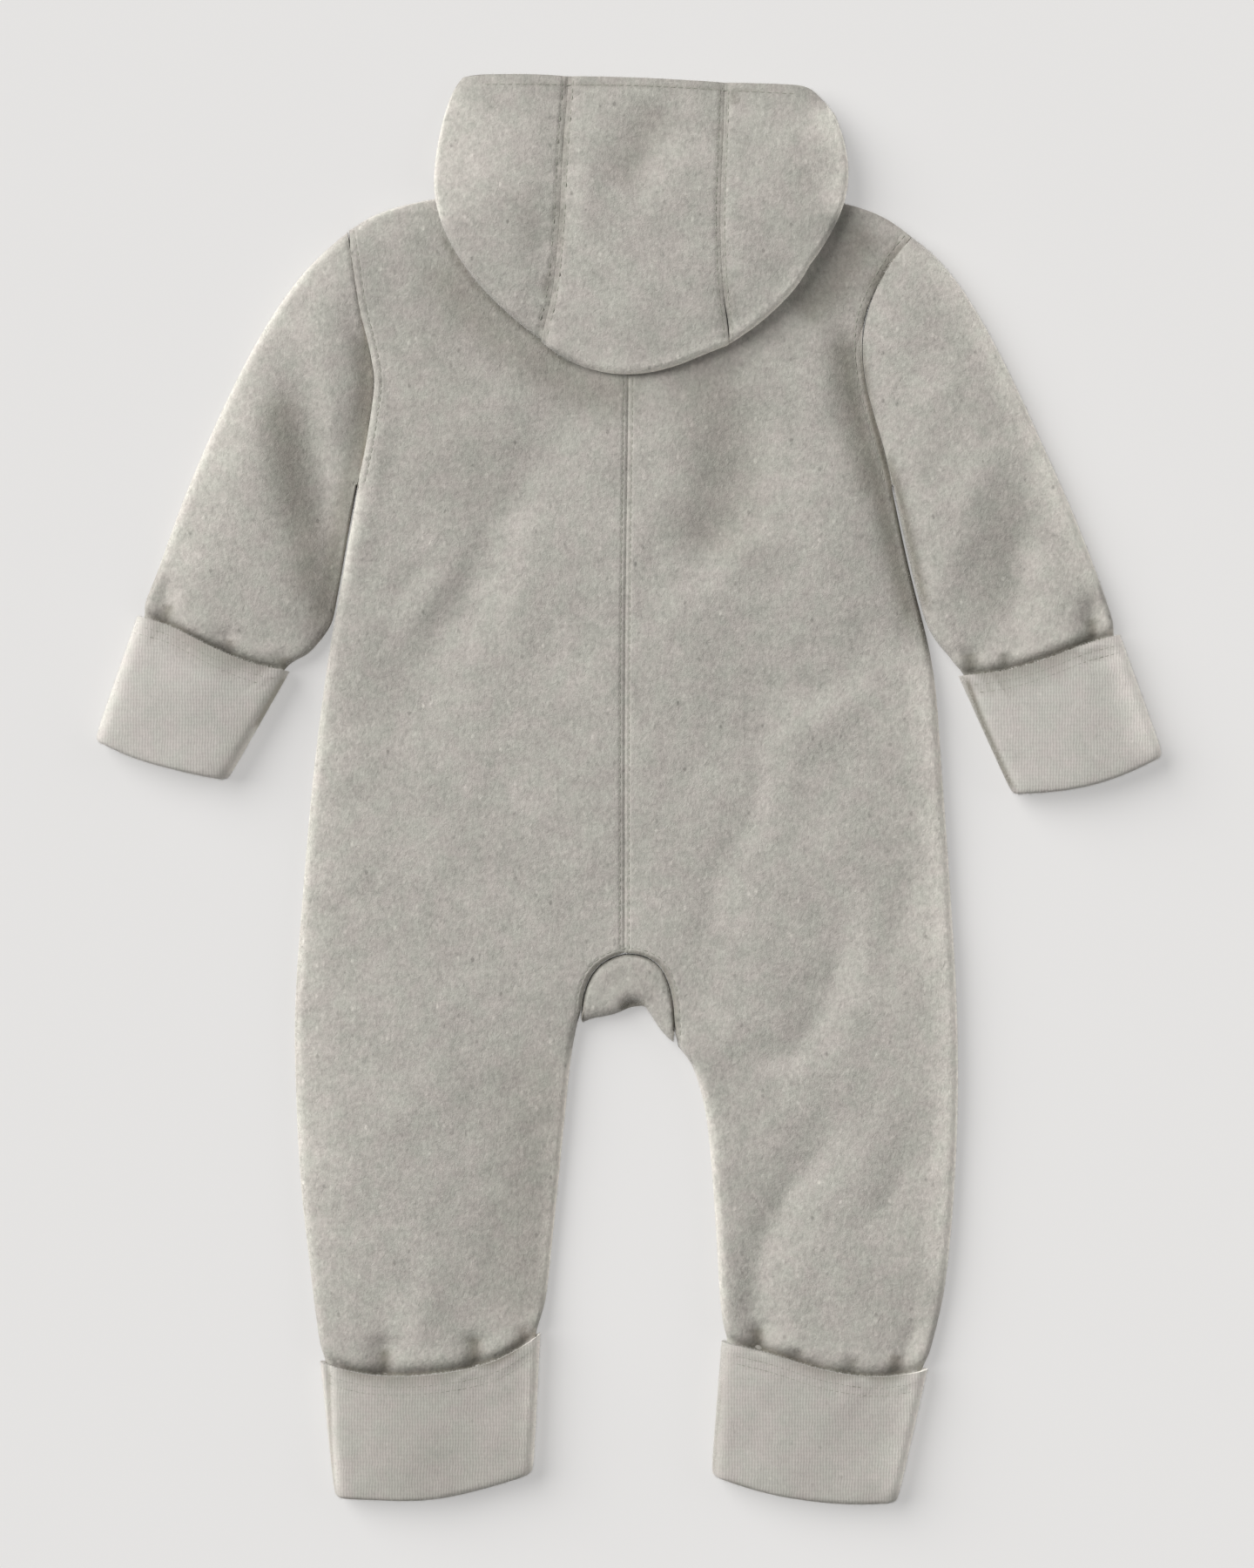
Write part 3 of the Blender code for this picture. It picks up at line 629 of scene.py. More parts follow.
class HeatherGroup:
    """Undyed wool in mixed shades: small upright flecks, soft clouds and rare specks, darkened where the
    seams' darker line and painted shade lie.
    """

    NAME = "heather_wool"
    # The tint and the pace of the seams' darker line and of painted shade
    SEAM_AND_SHADE_TINT = (0.46, 0.447, 0.405)
    SEAM_AND_SHADE_PACE = 1.4
    WARM = (1.022, 0.998, 1.006)
    GREEN = (0.978, 1.002, 0.985)
    DYED = (0.36, 0.64)
    # The other patterns' scales, as shares of the flecks' scale
    FINE_SCALE = 3.1
    SPECK_SCALE = 0.55
    PATCH_SCALE = 0.3
    HUE_SCALE = 0.16
    CLOUD_SCALE = 0.09
    # The middle of the flecks, and how much of them the fine grain and the specks are
    GRAIN_MIDDLE = 0.75
    FINE_SHARE = 0.5
    SPECK_SHARE = 0.45
    SPECK_EDGE = (0.12, 0.34)
    SPECK_RARITY = 6.0

    @classmethod
    @cache
    def tree(cls) -> bpy.types.NodeTree:
        """Builds the group, once.

        Returns:
            The group.
        """
        tree, shader, given, out = new_group(
            cls.NAME,
            (
                Socket("Vector", "Vector"),
                Socket("Middle", "Color", value=(0.4, 0.4, 0.4, 1.0)),
                Socket("Fleck Scale", "Float", value=600.0),
                Socket("Fleck Contrast", "Float", value=0.2),
                Socket("Cloud Contrast", "Float", value=0.08),
                Socket("Upright", "Float", value=0.7),
                Socket("Pressed", "Float", value=0.0),
                Socket("Color", "Color", output=True),
            ),
        )

        def scale(share: float) -> bpy.types.NodeSocket:
            """A pattern's scale, as a share of the flecks' scale."""
            return shader.math("MULTIPLY", given["Fleck Scale"], share)

        place = given["Vector"]
        parts = shader.node("SeparateXYZ")
        shader.link(place, parts.inputs[0])
        drawn = shader.node("CombineXYZ")
        shader.link(parts.outputs["X"], drawn.inputs["X"])
        shader.link(shader.math("MULTIPLY", parts.outputs["Y"], given["Upright"]), drawn.inputs["Y"])
        shader.link(parts.outputs["Z"], drawn.inputs["Z"])
        upright = drawn.outputs[0]

        fleck = shader.noise(upright, given["Fleck Scale"], 3.0, 0.62, 0.25)
        fine = shader.noise(upright, scale(cls.FINE_SCALE), 2.0, 0.7)
        grain = shader.math("ADD", fleck, shader.math("MULTIPLY", fine, cls.FINE_SHARE))
        centred = shader.math("SUBTRACT", grain, cls.GRAIN_MIDDLE)
        tone = shader.math("MULTIPLY", centred, given["Fleck Contrast"])

        cloud = shader.noise(place, scale(cls.CLOUD_SCALE), 3.0, 0.55)
        patch = shader.noise(place, scale(cls.PATCH_SCALE), 4.0, 0.6, 0.4)
        clouds = shader.math("SUBTRACT", shader.math("ADD", cloud, patch), 1.0)
        shade = shader.math("MULTIPLY", clouds, given["Cloud Contrast"])

        speck = shader.node("TexVoronoi", Scale=1.0, Randomness=1.0)
        shader.link(upright, speck.inputs["Vector"])
        shader.link(scale(cls.SPECK_SCALE), speck.inputs["Scale"])
        beyond = shader.ranged(speck.outputs["Distance"], *cls.SPECK_EDGE, kind="SMOOTHSTEP")
        dot = shader.math("SUBTRACT", 1.0, beyond)
        which = shader.node("SeparateColor")
        shader.link(speck.outputs["Color"], which.inputs[0])
        signed = shader.math("SUBTRACT", which.outputs[0], 0.5)
        strong = shader.math("ABSOLUTE", shader.math("MULTIPLY", signed, 2.0))
        rare = shader.math("POWER", strong, cls.SPECK_RARITY)
        specks = shader.math("MULTIPLY", shader.math("MULTIPLY", rare, shader.math("SIGN", signed)), dot)
        contrast = shader.math("MULTIPLY", given["Fleck Contrast"], cls.SPECK_SHARE)
        speck_tone = shader.math("MULTIPLY", specks, contrast)

        total = shader.math("ADD", shader.math("ADD", tone, shade), speck_tone)
        hue = shader.ranged(shader.noise(place, scale(cls.HUE_SCALE), 3.0, 0.6), *cls.DYED)
        dyed = shader.tinted(given["Middle"], shader.mixed(hue, cls.WARM, cls.GREEN))
        wool = shader.scaled(dyed, shader.math("ADD", total, 1.0))
        # Darkens the wool by the seams' darker line and by painted shade
        painted_share = shader.math("POWER", given["Pressed"], cls.SEAM_AND_SHADE_PACE)
        shader.link(shader.mixed(painted_share, wool, shader.tinted(wool, cls.SEAM_AND_SHADE_TINT)), out["Color"])
        return tree


class NapGroup:
    """The height of brushed wool: tufts that lie upright, with a fine fuzz on them."""

    NAME = "brushed_nap"
    DRAWN = (1.0, 0.75, 1.0)
    FUZZ_SCALE = 4.0

    @classmethod
    @cache
    def tree(cls) -> bpy.types.NodeTree:
        """Builds the group, once.

        Returns:
            The group.
        """
        tree, shader, given, out = new_group(
            cls.NAME,
            (
                Socket("Vector", "Vector"),
                Socket("Tuft Scale", "Float", value=500.0),
                Socket("Fuzz", "Float", value=0.5),
                Socket("Height", "Float", output=True),
            ),
        )
        drawn = shader.node("Mapping", vector_type="POINT")
        drawn.inputs["Scale"].default_value = cls.DRAWN
        shader.link(given["Vector"], drawn.inputs["Vector"])
        tuft = shader.noise(drawn.outputs[0], given["Tuft Scale"], 2.0, 0.55, 0.6)
        fine = shader.math("MULTIPLY", given["Tuft Scale"], cls.FUZZ_SCALE)
        fuzz = shader.math("MULTIPLY", shader.noise(drawn.outputs[0], fine, 3.0, 0.75), given["Fuzz"])
        shader.link(shader.math("ADD", tuft, fuzz), out["Height"])
        return tree


class KnitGroup:
    """The height of the smooth knitted side: fine upright ribs of loops."""

    NAME = "fine_knit"
    WOBBLE_SCALE = 160.0
    WOBBLE = 0.0016
    COURSE_PITCH = 0.8
    COURSE_SHARE = 0.4

    @classmethod
    @cache
    def tree(cls) -> bpy.types.NodeTree:
        """Builds the group, once.

        Returns:
            The group.
        """
        tree, shader, given, out = new_group(
            cls.NAME,
            (
                Socket("Vector", "Vector"),
                Socket("Loops", "Float", value=900.0),
                Socket("Height", "Float", output=True),
            ),
        )
        parts = shader.node("SeparateXYZ")
        shader.link(given["Vector"], parts.inputs[0])
        drift = shader.math(
            "MULTIPLY", shader.noise(given["Vector"], cls.WOBBLE_SCALE, 2.0, 0.5), cls.WOBBLE
        )
        across = shader.math("ADD", parts.outputs["X"], drift)
        turns = shader.math("MULTIPLY", given["Loops"], 2.0 * math.pi)
        wale = shader.math("SINE", shader.math("MULTIPLY", across, turns))
        up = shader.math("MULTIPLY", parts.outputs["Y"], shader.math("MULTIPLY", turns, cls.COURSE_PITCH))
        course = shader.math("MULTIPLY", shader.math("SINE", up), cls.COURSE_SHARE)
        shader.link(shader.math("ADD", wale, course), out["Height"])
        return tree


def new_material(name: str) -> tuple[bpy.types.Material, Shader, bpy.types.Node]:
    """Makes a material.

    Args:
        name: the material's name.

    Returns:
        The material, a builder for its tree and its Principled node.
    """
    material = bpy.data.materials.new(name)
    material.use_nodes = True
    return material, Shader(material.node_tree), material.node_tree.nodes["Principled BSDF"]


def set_inputs(node: bpy.types.Node, values: dict[str, object]) -> None:
    """Writes values to the inputs of a node, by the inputs' names."""
    for name, value in values.items():
        node.inputs[name].default_value = value


@dataclass(frozen=True)
class ClothFinish:
    """What every cloth and thread shares: heather wool, a relief and a soft sheen.

    Fields: name, of the material; colour, the middle one; flecks, clouds and upright,
    values of the heather; bump, the relief's strength and its height in metres; sheen,
    its weight, roughness and tint; roughness; rim, how much painted highlight the
    cloth gets where it turns down.
    """

    name: str
    colour: tuple[float, float, float]
    fleck_scale: float
    fleck_contrast: float
    cloud_contrast: float
    bump: tuple[float, float]
    sheen: tuple[float, float, float]
    roughness: float
    upright: float = 0.7
    rim: float = 0.0

    # How much the painted highlight along the turned edges brightens the colour, and how fast it grows as
    # the cloth turns down
    HIGHLIGHT_GAIN = 0.45
    RIM_PACE = 1.3
    GLOSS = 0.2

    def relief(self) -> tuple[bpy.types.NodeTree, dict[str, float]]:
        """The group that gives the height, and its values."""
        raise NotImplementedError

    @cache
    def material(self) -> bpy.types.Material:
        """Makes the material, once.

        Returns:
            The material.
        """
        material, shader, principled = new_material(self.name)
        place = shader.node("TexCoord")
        wool = self._group(shader, HeatherGroup.tree(), {
            "Middle": (*self.colour, 1.0),
            "Fleck Scale": self.fleck_scale,
            "Fleck Contrast": self.fleck_contrast,
            "Cloud Contrast": self.cloud_contrast,
            "Upright": self.upright,
        })
        shader.link(place.outputs["Object"], wool.inputs["Vector"])
        # The seams' darker line and painted shade darken the wool, and painted highlight brightens it along
        # the turned edges
        painted_share = shader.node("Attribute", attribute_name=SEAM_TONE_AND_SHADE)
        shader.link(painted_share.outputs["Fac"], wool.inputs["Pressed"])
        lit = self._painted_highlight(shader, place.outputs["Normal"])
        shader.link(shader.scaled(wool.outputs["Color"], lit), principled.inputs["Base Color"])
        height = self._group(shader, *self.relief())
        shader.link(place.outputs["Object"], height.inputs["Vector"])
        bumped = shader.node("Bump", Strength=self.bump[0], Distance=self.bump[1])
        shader.link(height.outputs["Height"], bumped.inputs["Height"])
        shader.link(bumped.outputs[0], principled.inputs["Normal"])
        weight, spread, tint = self.sheen
        set_inputs(principled, {
            "Roughness": self.roughness,
            "Specular IOR Level": self.GLOSS,
            "Sheen Weight": weight,
            "Sheen Roughness": spread,
            "Sheen Tint": (tint, tint, tint, 1.0),
        })
        return material

    def _group(
        self, shader: Shader, tree: bpy.types.NodeTree, values: dict[str, object]
    ) -> bpy.types.Node:
        """Adds a group.

        Args:
            shader: the material's builder.
            tree: the group.
            values: values of its inputs.

        Returns:
            The group's node.
        """
        made = shader.node("Group")
        made.node_tree = tree
        set_inputs(made, values)
        return made

    def _painted_highlight(self, shader: Shader, normal: bpy.types.NodeSocket) -> bpy.types.NodeSocket:
        """Works out the painted highlight: how much brighter the colour is made along the turned edges.

        Args:
            shader: the material's builder.
            normal: the way out of the cloth.

        Returns:
            A factor, 1 where no highlight is painted.
        """
        parts = shader.node("SeparateXYZ")
        shader.link(normal, parts.inputs[0])
        level = shader.math("ABSOLUTE", parts.outputs["Z"])
        turned = shader.math("POWER", shader.math("SUBTRACT", 1.0, level), self.RIM_PACE)
        gain = shader.math("ADD", shader.math("MULTIPLY", turned, self.rim), self.HIGHLIGHT_GAIN)
        highlight = shader.node("Attribute", attribute_name=PAINTED_HIGHLIGHT)
        return shader.math("ADD", shader.math("MULTIPLY", gain, highlight.outputs["Fac"]), 1.0)


@dataclass(frozen=True)
class FleeceFinish(ClothFinish):
    """The brushed outer side of the wool fleece."""

    name: str = "brushed_fleece"
    colour: tuple[float, float, float] = (0.389, 0.371, 0.337)
    fleck_scale: float = 560.0
    fleck_contrast: float = 0.72
    cloud_contrast: float = 0.34
    bump: tuple[float, float] = (0.5, 0.0008)
    sheen: tuple[float, float, float] = (0.25, 0.5, 1.0)
    roughness: float = 0.95
    rim: float = 2.2
    tuft_scale: float = 430.0
    fuzz: float = 0.55

    def relief(self) -> tuple[bpy.types.NodeTree, dict[str, float]]:
        """The brushed nap."""
        return NapGroup.tree(), {"Tuft Scale": self.tuft_scale, "Fuzz": self.fuzz}


@dataclass(frozen=True)
class KnitFinish(ClothFinish):
    """A knitted or twisted surface; loops is how many stand on a metre."""

    loops: float = 900.0

    def relief(self) -> tuple[bpy.types.NodeTree, dict[str, float]]:
        """The fine knit."""
        return KnitGroup.tree(), {"Loops": self.loops}


@dataclass(frozen=True)
class ReverseFinish(KnitFinish):
    """The smooth knitted side that the turned-back cuffs show."""

    name: str = "knitted_reverse"
    colour: tuple[float, float, float] = (0.447, 0.426, 0.394)
    fleck_scale: float = 560.0
    fleck_contrast: float = 0.30
    cloud_contrast: float = 0.15
    bump: tuple[float, float] = (0.2, 0.0002)
    sheen: tuple[float, float, float] = (0.2, 0.5, 1.0)
    roughness: float = 0.9
    upright: float = 0.9
    rim: float = 1.6
    loops: float = 760.0


@dataclass(frozen=True)
class ThreadFinish(KnitFinish):
    """Matt sewing thread, a little darker than the wool."""

    name: str = "sewing_thread"
    colour: tuple[float, float, float] = (0.30, 0.30, 0.255)
    fleck_scale: float = 2500.0
    fleck_contrast: float = 0.3
    cloud_contrast: float = 0.05
    bump: tuple[float, float] = (0.3, 0.0001)
    sheen: tuple[float, float, float] = (0.1, 0.5, 0.9)
    roughness: float = 0.8
    loops: float = 2600.0


@dataclass(frozen=True)
class FibreFinish:
    """The loose ends of the wool, coloured lighter than the cloth: a painted highlight that stands in for
    the light they let through.
    """

    colour: tuple[float, float, float] = (0.60, 0.58, 0.54)
    roughness: float = 0.95
    gloss: float = 0.1
    sheen: float = 0.6

    @cache
    def material(self) -> bpy.types.Material:
        """Makes the material, once.

        Returns:
            The material.
        """
        material, _, principled = new_material("wool_fibre")
        set_inputs(principled, {
            "Base Color": (*self.colour, 1.0),
            "Roughness": self.roughness,
            "Specular IOR Level": self.gloss,
            "Sheen Weight": self.sheen,
        })
        return material


@dataclass(frozen=True)
class HornFinish:
    """Satin resin that imitates horn, brown with soft pale streaks."""

    colour: tuple[float, float, float] = (0.24, 0.20, 0.16)
    streak_scale: float = 180.0
    streak_contrast: float = 0.9
    cloud_contrast: float = 0.4
    roughness: float = 0.38

    @cache
    def material(self) -> bpy.types.Material:
        """Makes the material, once.

        Returns:
            The material.
        """
        material, shader, principled = new_material("horn_resin")
        place = shader.node("TexCoord")
        streaks = shader.node("Group")
        streaks.node_tree = HeatherGroup.tree()
        set_inputs(streaks, {
            "Middle": (*self.colour, 1.0),
            "Fleck Scale": self.streak_scale,
            "Fleck Contrast": self.streak_contrast,
            "Cloud Contrast": self.cloud_contrast,
        })
        shader.link(place.outputs["Object"], streaks.inputs["Vector"])
        shader.link(streaks.outputs["Color"], principled.inputs["Base Color"])
        principled.inputs["Roughness"].default_value = self.roughness
        return material


FLEECE = FleeceFinish()
REVERSE = ReverseFinish()
THREAD = ThreadFinish()
FIBRE = FibreFinish()
HORN = HornFinish()


# Cloth


@dataclass(frozen=True)
class Cut:
    """The flat size that a piece was cut to, in metres, and its area if not square."""

    width: float
    length: float
    area: Optional[float] = None


@dataclass
class ClothPiece:
    """One cut piece of cloth: a finer, creased copy of its solid.

    Fields: node, the solid; cut and lie, not used; rests_on, what it lies on; slot,
    not used, and finish; fine, whether its upper side is divided once more; foot and
    crest, the heights between which the creases fade in; shifts; shapes, the creases
    and uneven fields; seams; shades, strips of painted shade; edges, strips of painted
    highlight where the cloth turns under; crisp, how far the sewn ends and the corners
    of its outline keep their place when it is smoothed; piece, the finished object.
    """

    node: str
    cut: Cut
    lie: Lie = Lie.LAID
    rests_on: tuple[str, ...] = ()
    slot: Slot = Slot.FLEECE
    finish: Callable[[], bpy.types.Material] = FLEECE.material
    fine: bool = True
    foot: float = 4.6
    crest: float = 9.0
    shifts: tuple[Shift, ...] = ()
    shapes: tuple[object, ...] = ()
    seams: tuple[Seam, ...] = ()
    shades: tuple[Shade, ...] = ()
    edges: tuple[Shade, ...] = ()
    crisp: float = 1.0
    piece: Optional[bpy.types.Object] = field(default=None, init=False)

    # The levels of subdivision, and how far up a face looks that is divided once more
    LEVELS = 2
    UPWARD = 0.35
    # The share of the foot above which the seams' darker line and the painted shade take full strength
    SHADE_FROM = 0.5
    WELD = 0.00001
    PAIRED = math.radians(70.0)
    SHARP = math.radians(55.0)
    CORNER = math.radians(38.0)

    def build(self) -> bpy.types.Object:
        """Makes, creases and dresses the piece.

        Returns:
            The finished object.
        """
        self._copy_solid()
        self._keep_ends()
        self._refine()
        self._press()
        self._dress()
        LOG.info("%s: %d faces", self.piece.name, len(self.piece.data.polygons))
        return self.piece

    def _copy_solid(self) -> None:
        """Copies the solid, welds its loose triangles and pairs them into quads."""
        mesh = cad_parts[self.node].data.copy()
        self.piece = bpy.data.objects.new(self.node + "_cloth", mesh)
        bpy.context.scene.collection.objects.link(self.piece)
        mesh.materials.clear()
        select_only(self.piece)
        bpy.ops.mesh.customdata_custom_splitnormals_clear()
        bpy.ops.object.mode_set(mode="EDIT")
        bpy.ops.mesh.select_all(action="SELECT")
        bpy.ops.mesh.remove_doubles(threshold=self.WELD)
        bpy.ops.mesh.tris_convert_to_quads(
            face_threshold=self.PAIRED, shape_threshold=math.pi, topology_influence=1.0
        )
        bpy.ops.mesh.mark_sharp(clear=True)
        bpy.ops.object.mode_set(mode="OBJECT")

    def _keep_ends(self) -> None:
        """Keeps the ends of the wall, and the corners of its outline, in their place."""
        mesh = self.piece.data
        bpy.ops.object.mode_set(mode="EDIT")
        bpy.ops.mesh.select_mode(type="EDGE")
        bpy.ops.mesh.select_all(action="DESELECT")
        bpy.ops.mesh.edges_select_sharp(sharpness=self.SHARP)
        bpy.ops.object.mode_set(mode="OBJECT")
        ends = mesh.attributes.new("crease_edge", "FLOAT", "EDGE")
        corners = mesh.attributes.new("crease_vert", "FLOAT", "POINT")
        ways: dict[int, list[Vector]] = {}
        for edge in mesh.edges:
            if not edge.select:
                continue
            ends.data[edge.index].value = self.crisp
            first, second = edge.vertices
            way = mesh.vertices[second].co - mesh.vertices[first].co
            ways.setdefault(first, []).append(way)
            ways.setdefault(second, []).append(-way)
        for vertex, pair in ways.items():
            if len(pair) == 2 and pair[0].angle(-pair[1]) > self.CORNER:
                corners.data[vertex].value = self.crisp

    def _refine(self) -> None:
        """Subdivides the copy, and its upper side once more."""
        smooth = self.piece.modifiers.new("smooth", "SUBSURF")
        smooth.levels = smooth.render_levels = self.LEVELS
        select_only(self.piece)
        bpy.ops.object.modifier_apply(modifier=smooth.name)
        mesh = self.piece.data
        for name in ("crease_edge", "crease_vert"):
            mesh.attributes.remove(mesh.attributes[name])
        if not self.fine:
            return
        upward = np.zeros(len(mesh.polygons) * 3)
        mesh.polygons.foreach_get("normal", upward)
        mesh.polygons.foreach_set("select", upward.reshape(-1, 3)[:, 2] > self.UPWARD)
        mesh.edges.foreach_set("select", np.zeros(len(mesh.edges), bool))
        mesh.vertices.foreach_set("select", np.zeros(len(mesh.vertices), bool))
        bpy.ops.object.mode_set(mode="EDIT")
        bpy.ops.mesh.select_mode(type="FACE")
        bpy.ops.mesh.subdivide(number_cuts=1, smoothness=0.0, quadcorner="INNERVERT")
        bpy.ops.object.mode_set(mode="OBJECT")

    def _press(self) -> None:
        """Presses the creases, the unevenness and the seams into the copy, and stores where the seams'
        darker line and painted shade darken it and where painted highlight lightens it.
        """
        mesh = self.piece.data
        points = points_of(mesh)
        for shift in self.shifts:
            points = shift.move(points)
        weight = smoothstep(self.foot, self.crest, points[:, 2])
        above = smoothstep(0.0, self.SHADE_FROM * self.foot, points[:, 2])
        lift = np.zeros(len(points))
        for shape in self.shapes:
            lift += shape.lift(points[:, :2])
        moved = points.copy()
        moved[:, 2] += weight * lift
        painted_share = np.zeros(len(points))
        for strip in (*self.seams, *self.shades):
            painted_share = np.maximum(painted_share, strip.painted_share(points[:, :2]) * above)
        for seam in self.seams:
            moved = seam.shape(moved, weight)
        highlight = np.zeros(len(points))
        for edge in self.edges:
            highlight = np.maximum(highlight, edge.painted_share(points[:, :2]))
        put_points(mesh, moved)
        mesh.attributes.new(SEAM_TONE_AND_SHADE, "FLOAT", "POINT").data.foreach_set("value", painted_share)
        mesh.attributes.new(PAINTED_HIGHLIGHT, "FLOAT", "POINT").data.foreach_set("value", highlight)

    def _dress(self) -> None:
        """Gives the piece its material and its body, and hides its solid."""
        mesh = self.piece.data
        mesh.materials.append(self.finish())
        select_only(self.piece)
        bpy.ops.object.shade_smooth_by_angle(angle=self.SHARP)
        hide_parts(self.node)
        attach(self.piece, "root")
        list(self.rests_on)


# Shapes shared by the pieces

UNEVEN = (
    Unevenness(pitch=38.0, height=0.9, seed=3),
    Unevenness(pitch=16.0, height=0.32, seed=8, turn=1.1),
    Unevenness(pitch=6.0, height=0.07, seed=21, turn=0.2),
)
CUFF_UNEVEN = (
    Unevenness(pitch=24.0, height=0.5, seed=5),
    Unevenness(pitch=9.0, height=0.16, seed=9, turn=1.0),
)

CENTRE_BACK = ((0.3, 275.0), (0.0, 190.0), (-1.4, 82.0), (-1.8, -75.3))
GUSSET_ARC = (
    (-21.8, -106.0), (-21.6, -101.0), (-20.1, -91.0), (-15.6, -82.3), (-8.5, -77.2), (-0.5, -75.0),
    (7.6, -76.2), (14.6, -80.4), (19.1, -89.4), (21.0, -100.0), (21.4, -110.0), (21.6, -118.0),
)
ARMHOLE_LEFT = (
    (-130.4, 262.0), (-128.4, 252.0), (-127.3, 246.0), (-125.3, 232.0), (-122.8, 218.0),
    (-119.0, 203.0), (-116.5, 188.0), (-118.2, 172.0), (-120.8, 156.0), (-124.3, 140.0),
)
ARMHOLE_RIGHT = (
    (134.6, 261.0), (129.4, 252.6), (123.8, 246.0), (115.0, 232.0), (108.8, 218.0),
    (107.4, 203.0), (108.9, 188.0), (113.1, 172.0), (117.7, 156.0), (121.3, 140.0),
)

# The straight ends of the hood's panels, and the curved seams that they are sewn to
HOOD_JOIN_LEFT = ((-27.5, 331.0), (-27.9, 327.2), (-39.8, 205.9), (-40.4, 200.0))
HOOD_JOIN_RIGHT = ((43.9, 330.0), (44.0, 324.1), (46.0, 204.8), (46.1, 199.0))
HOOD_SEAM_LEFT = (
    (-27.5, 331.0), (-27.9, 321.0), (-29.4, 302.6), (-30.6, 282.6), (-31.5, 262.6),
    (-33.0, 244.0), (-35.2, 226.0), (-39.8, 205.9), (-40.4, 200.0),
)
HOOD_SEAM_RIGHT = (
    (43.9, 330.0), (44.0, 321.0), (43.5, 302.0), (42.6, 282.6), (42.0, 262.0),
    (42.4, 244.0), (43.6, 226.0), (46.0, 204.8), (46.1, 199.0),
)

HOOD_HEM = ((-68, 323.4), (0, 322.6), (78, 318.6))

# How far beside its seam each row of stitches lies, in millimetres
ROW_CENTRE = 2.1
ROW_GUSSET = 2.4
ROW_ARMHOLE = 3.2
ROW_HOOD_LEFT = 2.4
ROW_HOOD_RIGHT = 2.0

# The mouths of the cuffs, from the inner to the outer side
MOUTHS = {
    "hand_left": ((-155.4, 54.2), (-172.6, 57.8), (-192.6, 66.2), (-212.6, 76.2), (-225.8, 79.8)),
    "hand_right": ((151.4, 52.2), (171.4, 54.2), (191.4, 59.8), (209.4, 66.8), (226.2, 71.2)),
    "ankle_left": ((-40.2, -249.4), (-56.6, -260.2), (-88.6, -267.8), (-124.6, -267.2), (-141.8, -262.4)),
    "ankle_right": ((42.6, -253.2), (62.0, -257.4), (92.0, -266.4), (115.4, -269.4), (137.8, -266.0)),
}
# How far below a mouth the two rows of its hem lie
HEM_ROWS = {"hem": 8.2, "edge": 4.6}

# Where the outline of the garment turns under
SIDE_LEFT = (
    (-134, 80), (-138, 60), (-144.5, 10), (-149.5, -46), (-153.4, -108), (-150.6, -182), (-143.4, -250),
)
SIDE_RIGHT = ((135, 80), (139.6, 60), (144, 10), (148, -46), (151.3, -108), (150, -182), (143.2, -250))
INSEAM_LEFT = ((-24, -112), (-27.5, -133), (-30.2, -160), (-34.4, -200), (-38.6, -244))
INSEAM_RIGHT = ((24, -122), (35.2, -145), (39, -182), (41.4, -220), (42.6, -250))
SLEEVE_OUTER_LEFT = ((-128, 258), (-152, 235.5), (-176, 197.5), (-195, 157), (-210, 119.5), (-222, 84))
SLEEVE_OUTER_RIGHT = ((130, 256), (150, 236), (171.5, 199.5), (189.5, 161), (206, 124), (220, 84))
HOOD_EDGE_LEFT = ((-79, 325), (-86, 306), (-90, 276), (-84, 254))
HOOD_EDGE_RIGHT = ((89, 318), (98, 302), (101.6, 276), (96, 258))
# The rim of the hood where it lies on the back, and the fold beside the right armhole
RIM_LEFT = (
    (-88, 262), (-84.5, 253), (-77, 241), (-62, 223), (-46, 210), (-39, 204), (-30, 196.5), (-16, 190),
)
RIM = (
    (-90, 275), (-85.6, 257), (-74.6, 238), (-60, 221.5), (-40.2, 206.4), (-21.5, 193.4), (-7, 190),
    (8, 190.2), (24, 194.2), (46.4, 205), (68, 225), (83.4, 240.6), (96, 259), (101.6, 276),
)
RIM_LOW = (
    (-30, 196), (-7, 189.6), (8, 189.2), (24, 193), (46.6, 203.8), (59.6, 212.3), (71, 222.6),
    (78, 231), (86, 243), (97, 259),
)
RIM_BESIDE = ((-94, 252), (-82, 232), (-66, 214), (-45, 198), (-24, 186), (-4, 181), (16, 180))
ARMHOLE_FOLD = (
    (106.6, 216), (107.6, 196), (110.4, 178), (115, 160), (120.6, 138.6), (127, 110), (134, 80), (140, 50),
)
# The lower right rim as the solid has it, and as full as it is in the photo
RIM_CUT = ((46.4, 205), (57.2, 215), (68, 225), (75.7, 232.8), (83.4, 240.6))
RIM_FULL = ((46.7, 204.2), (59.6, 212.3), (71, 222.6), (77.9, 230.9), (84, 240.2))
# Where the sides of the cuffs turn under, and how strong the painted highlight along them is
CUFF_EDGES = {
    "hand_left": (
        Shade(((-224, 84), (-234, 52), (-246, 20)), 9.0, 0.3),
        Shade(((-155, 57), (-170, 30), (-185, 2)), 7.0, 0.6),
    ),
    "hand_right": (Shade(((223, 78), (234, 46), (247, 12)), 9.0, 1.0),),
    "ankle_left": (
        Shade(((-143, -258), (-140, -292), (-135, -326)), 9.0, 0.3),
        Shade(((-41, -244), (-42, -280), (-44, -318)), 6.0, 1.0),
    ),
    "ankle_right": (Shade(((139, -260), (132, -294), (124, -328)), 9.0, 1.0),),
}


def moved_up(run: tuple[Place, ...], rise: float, aside: float = 0.0) -> tuple[Place, ...]:
    """The same run, moved up the plan and to the right."""
    return tuple((x + aside, y + rise) for x, y in run)


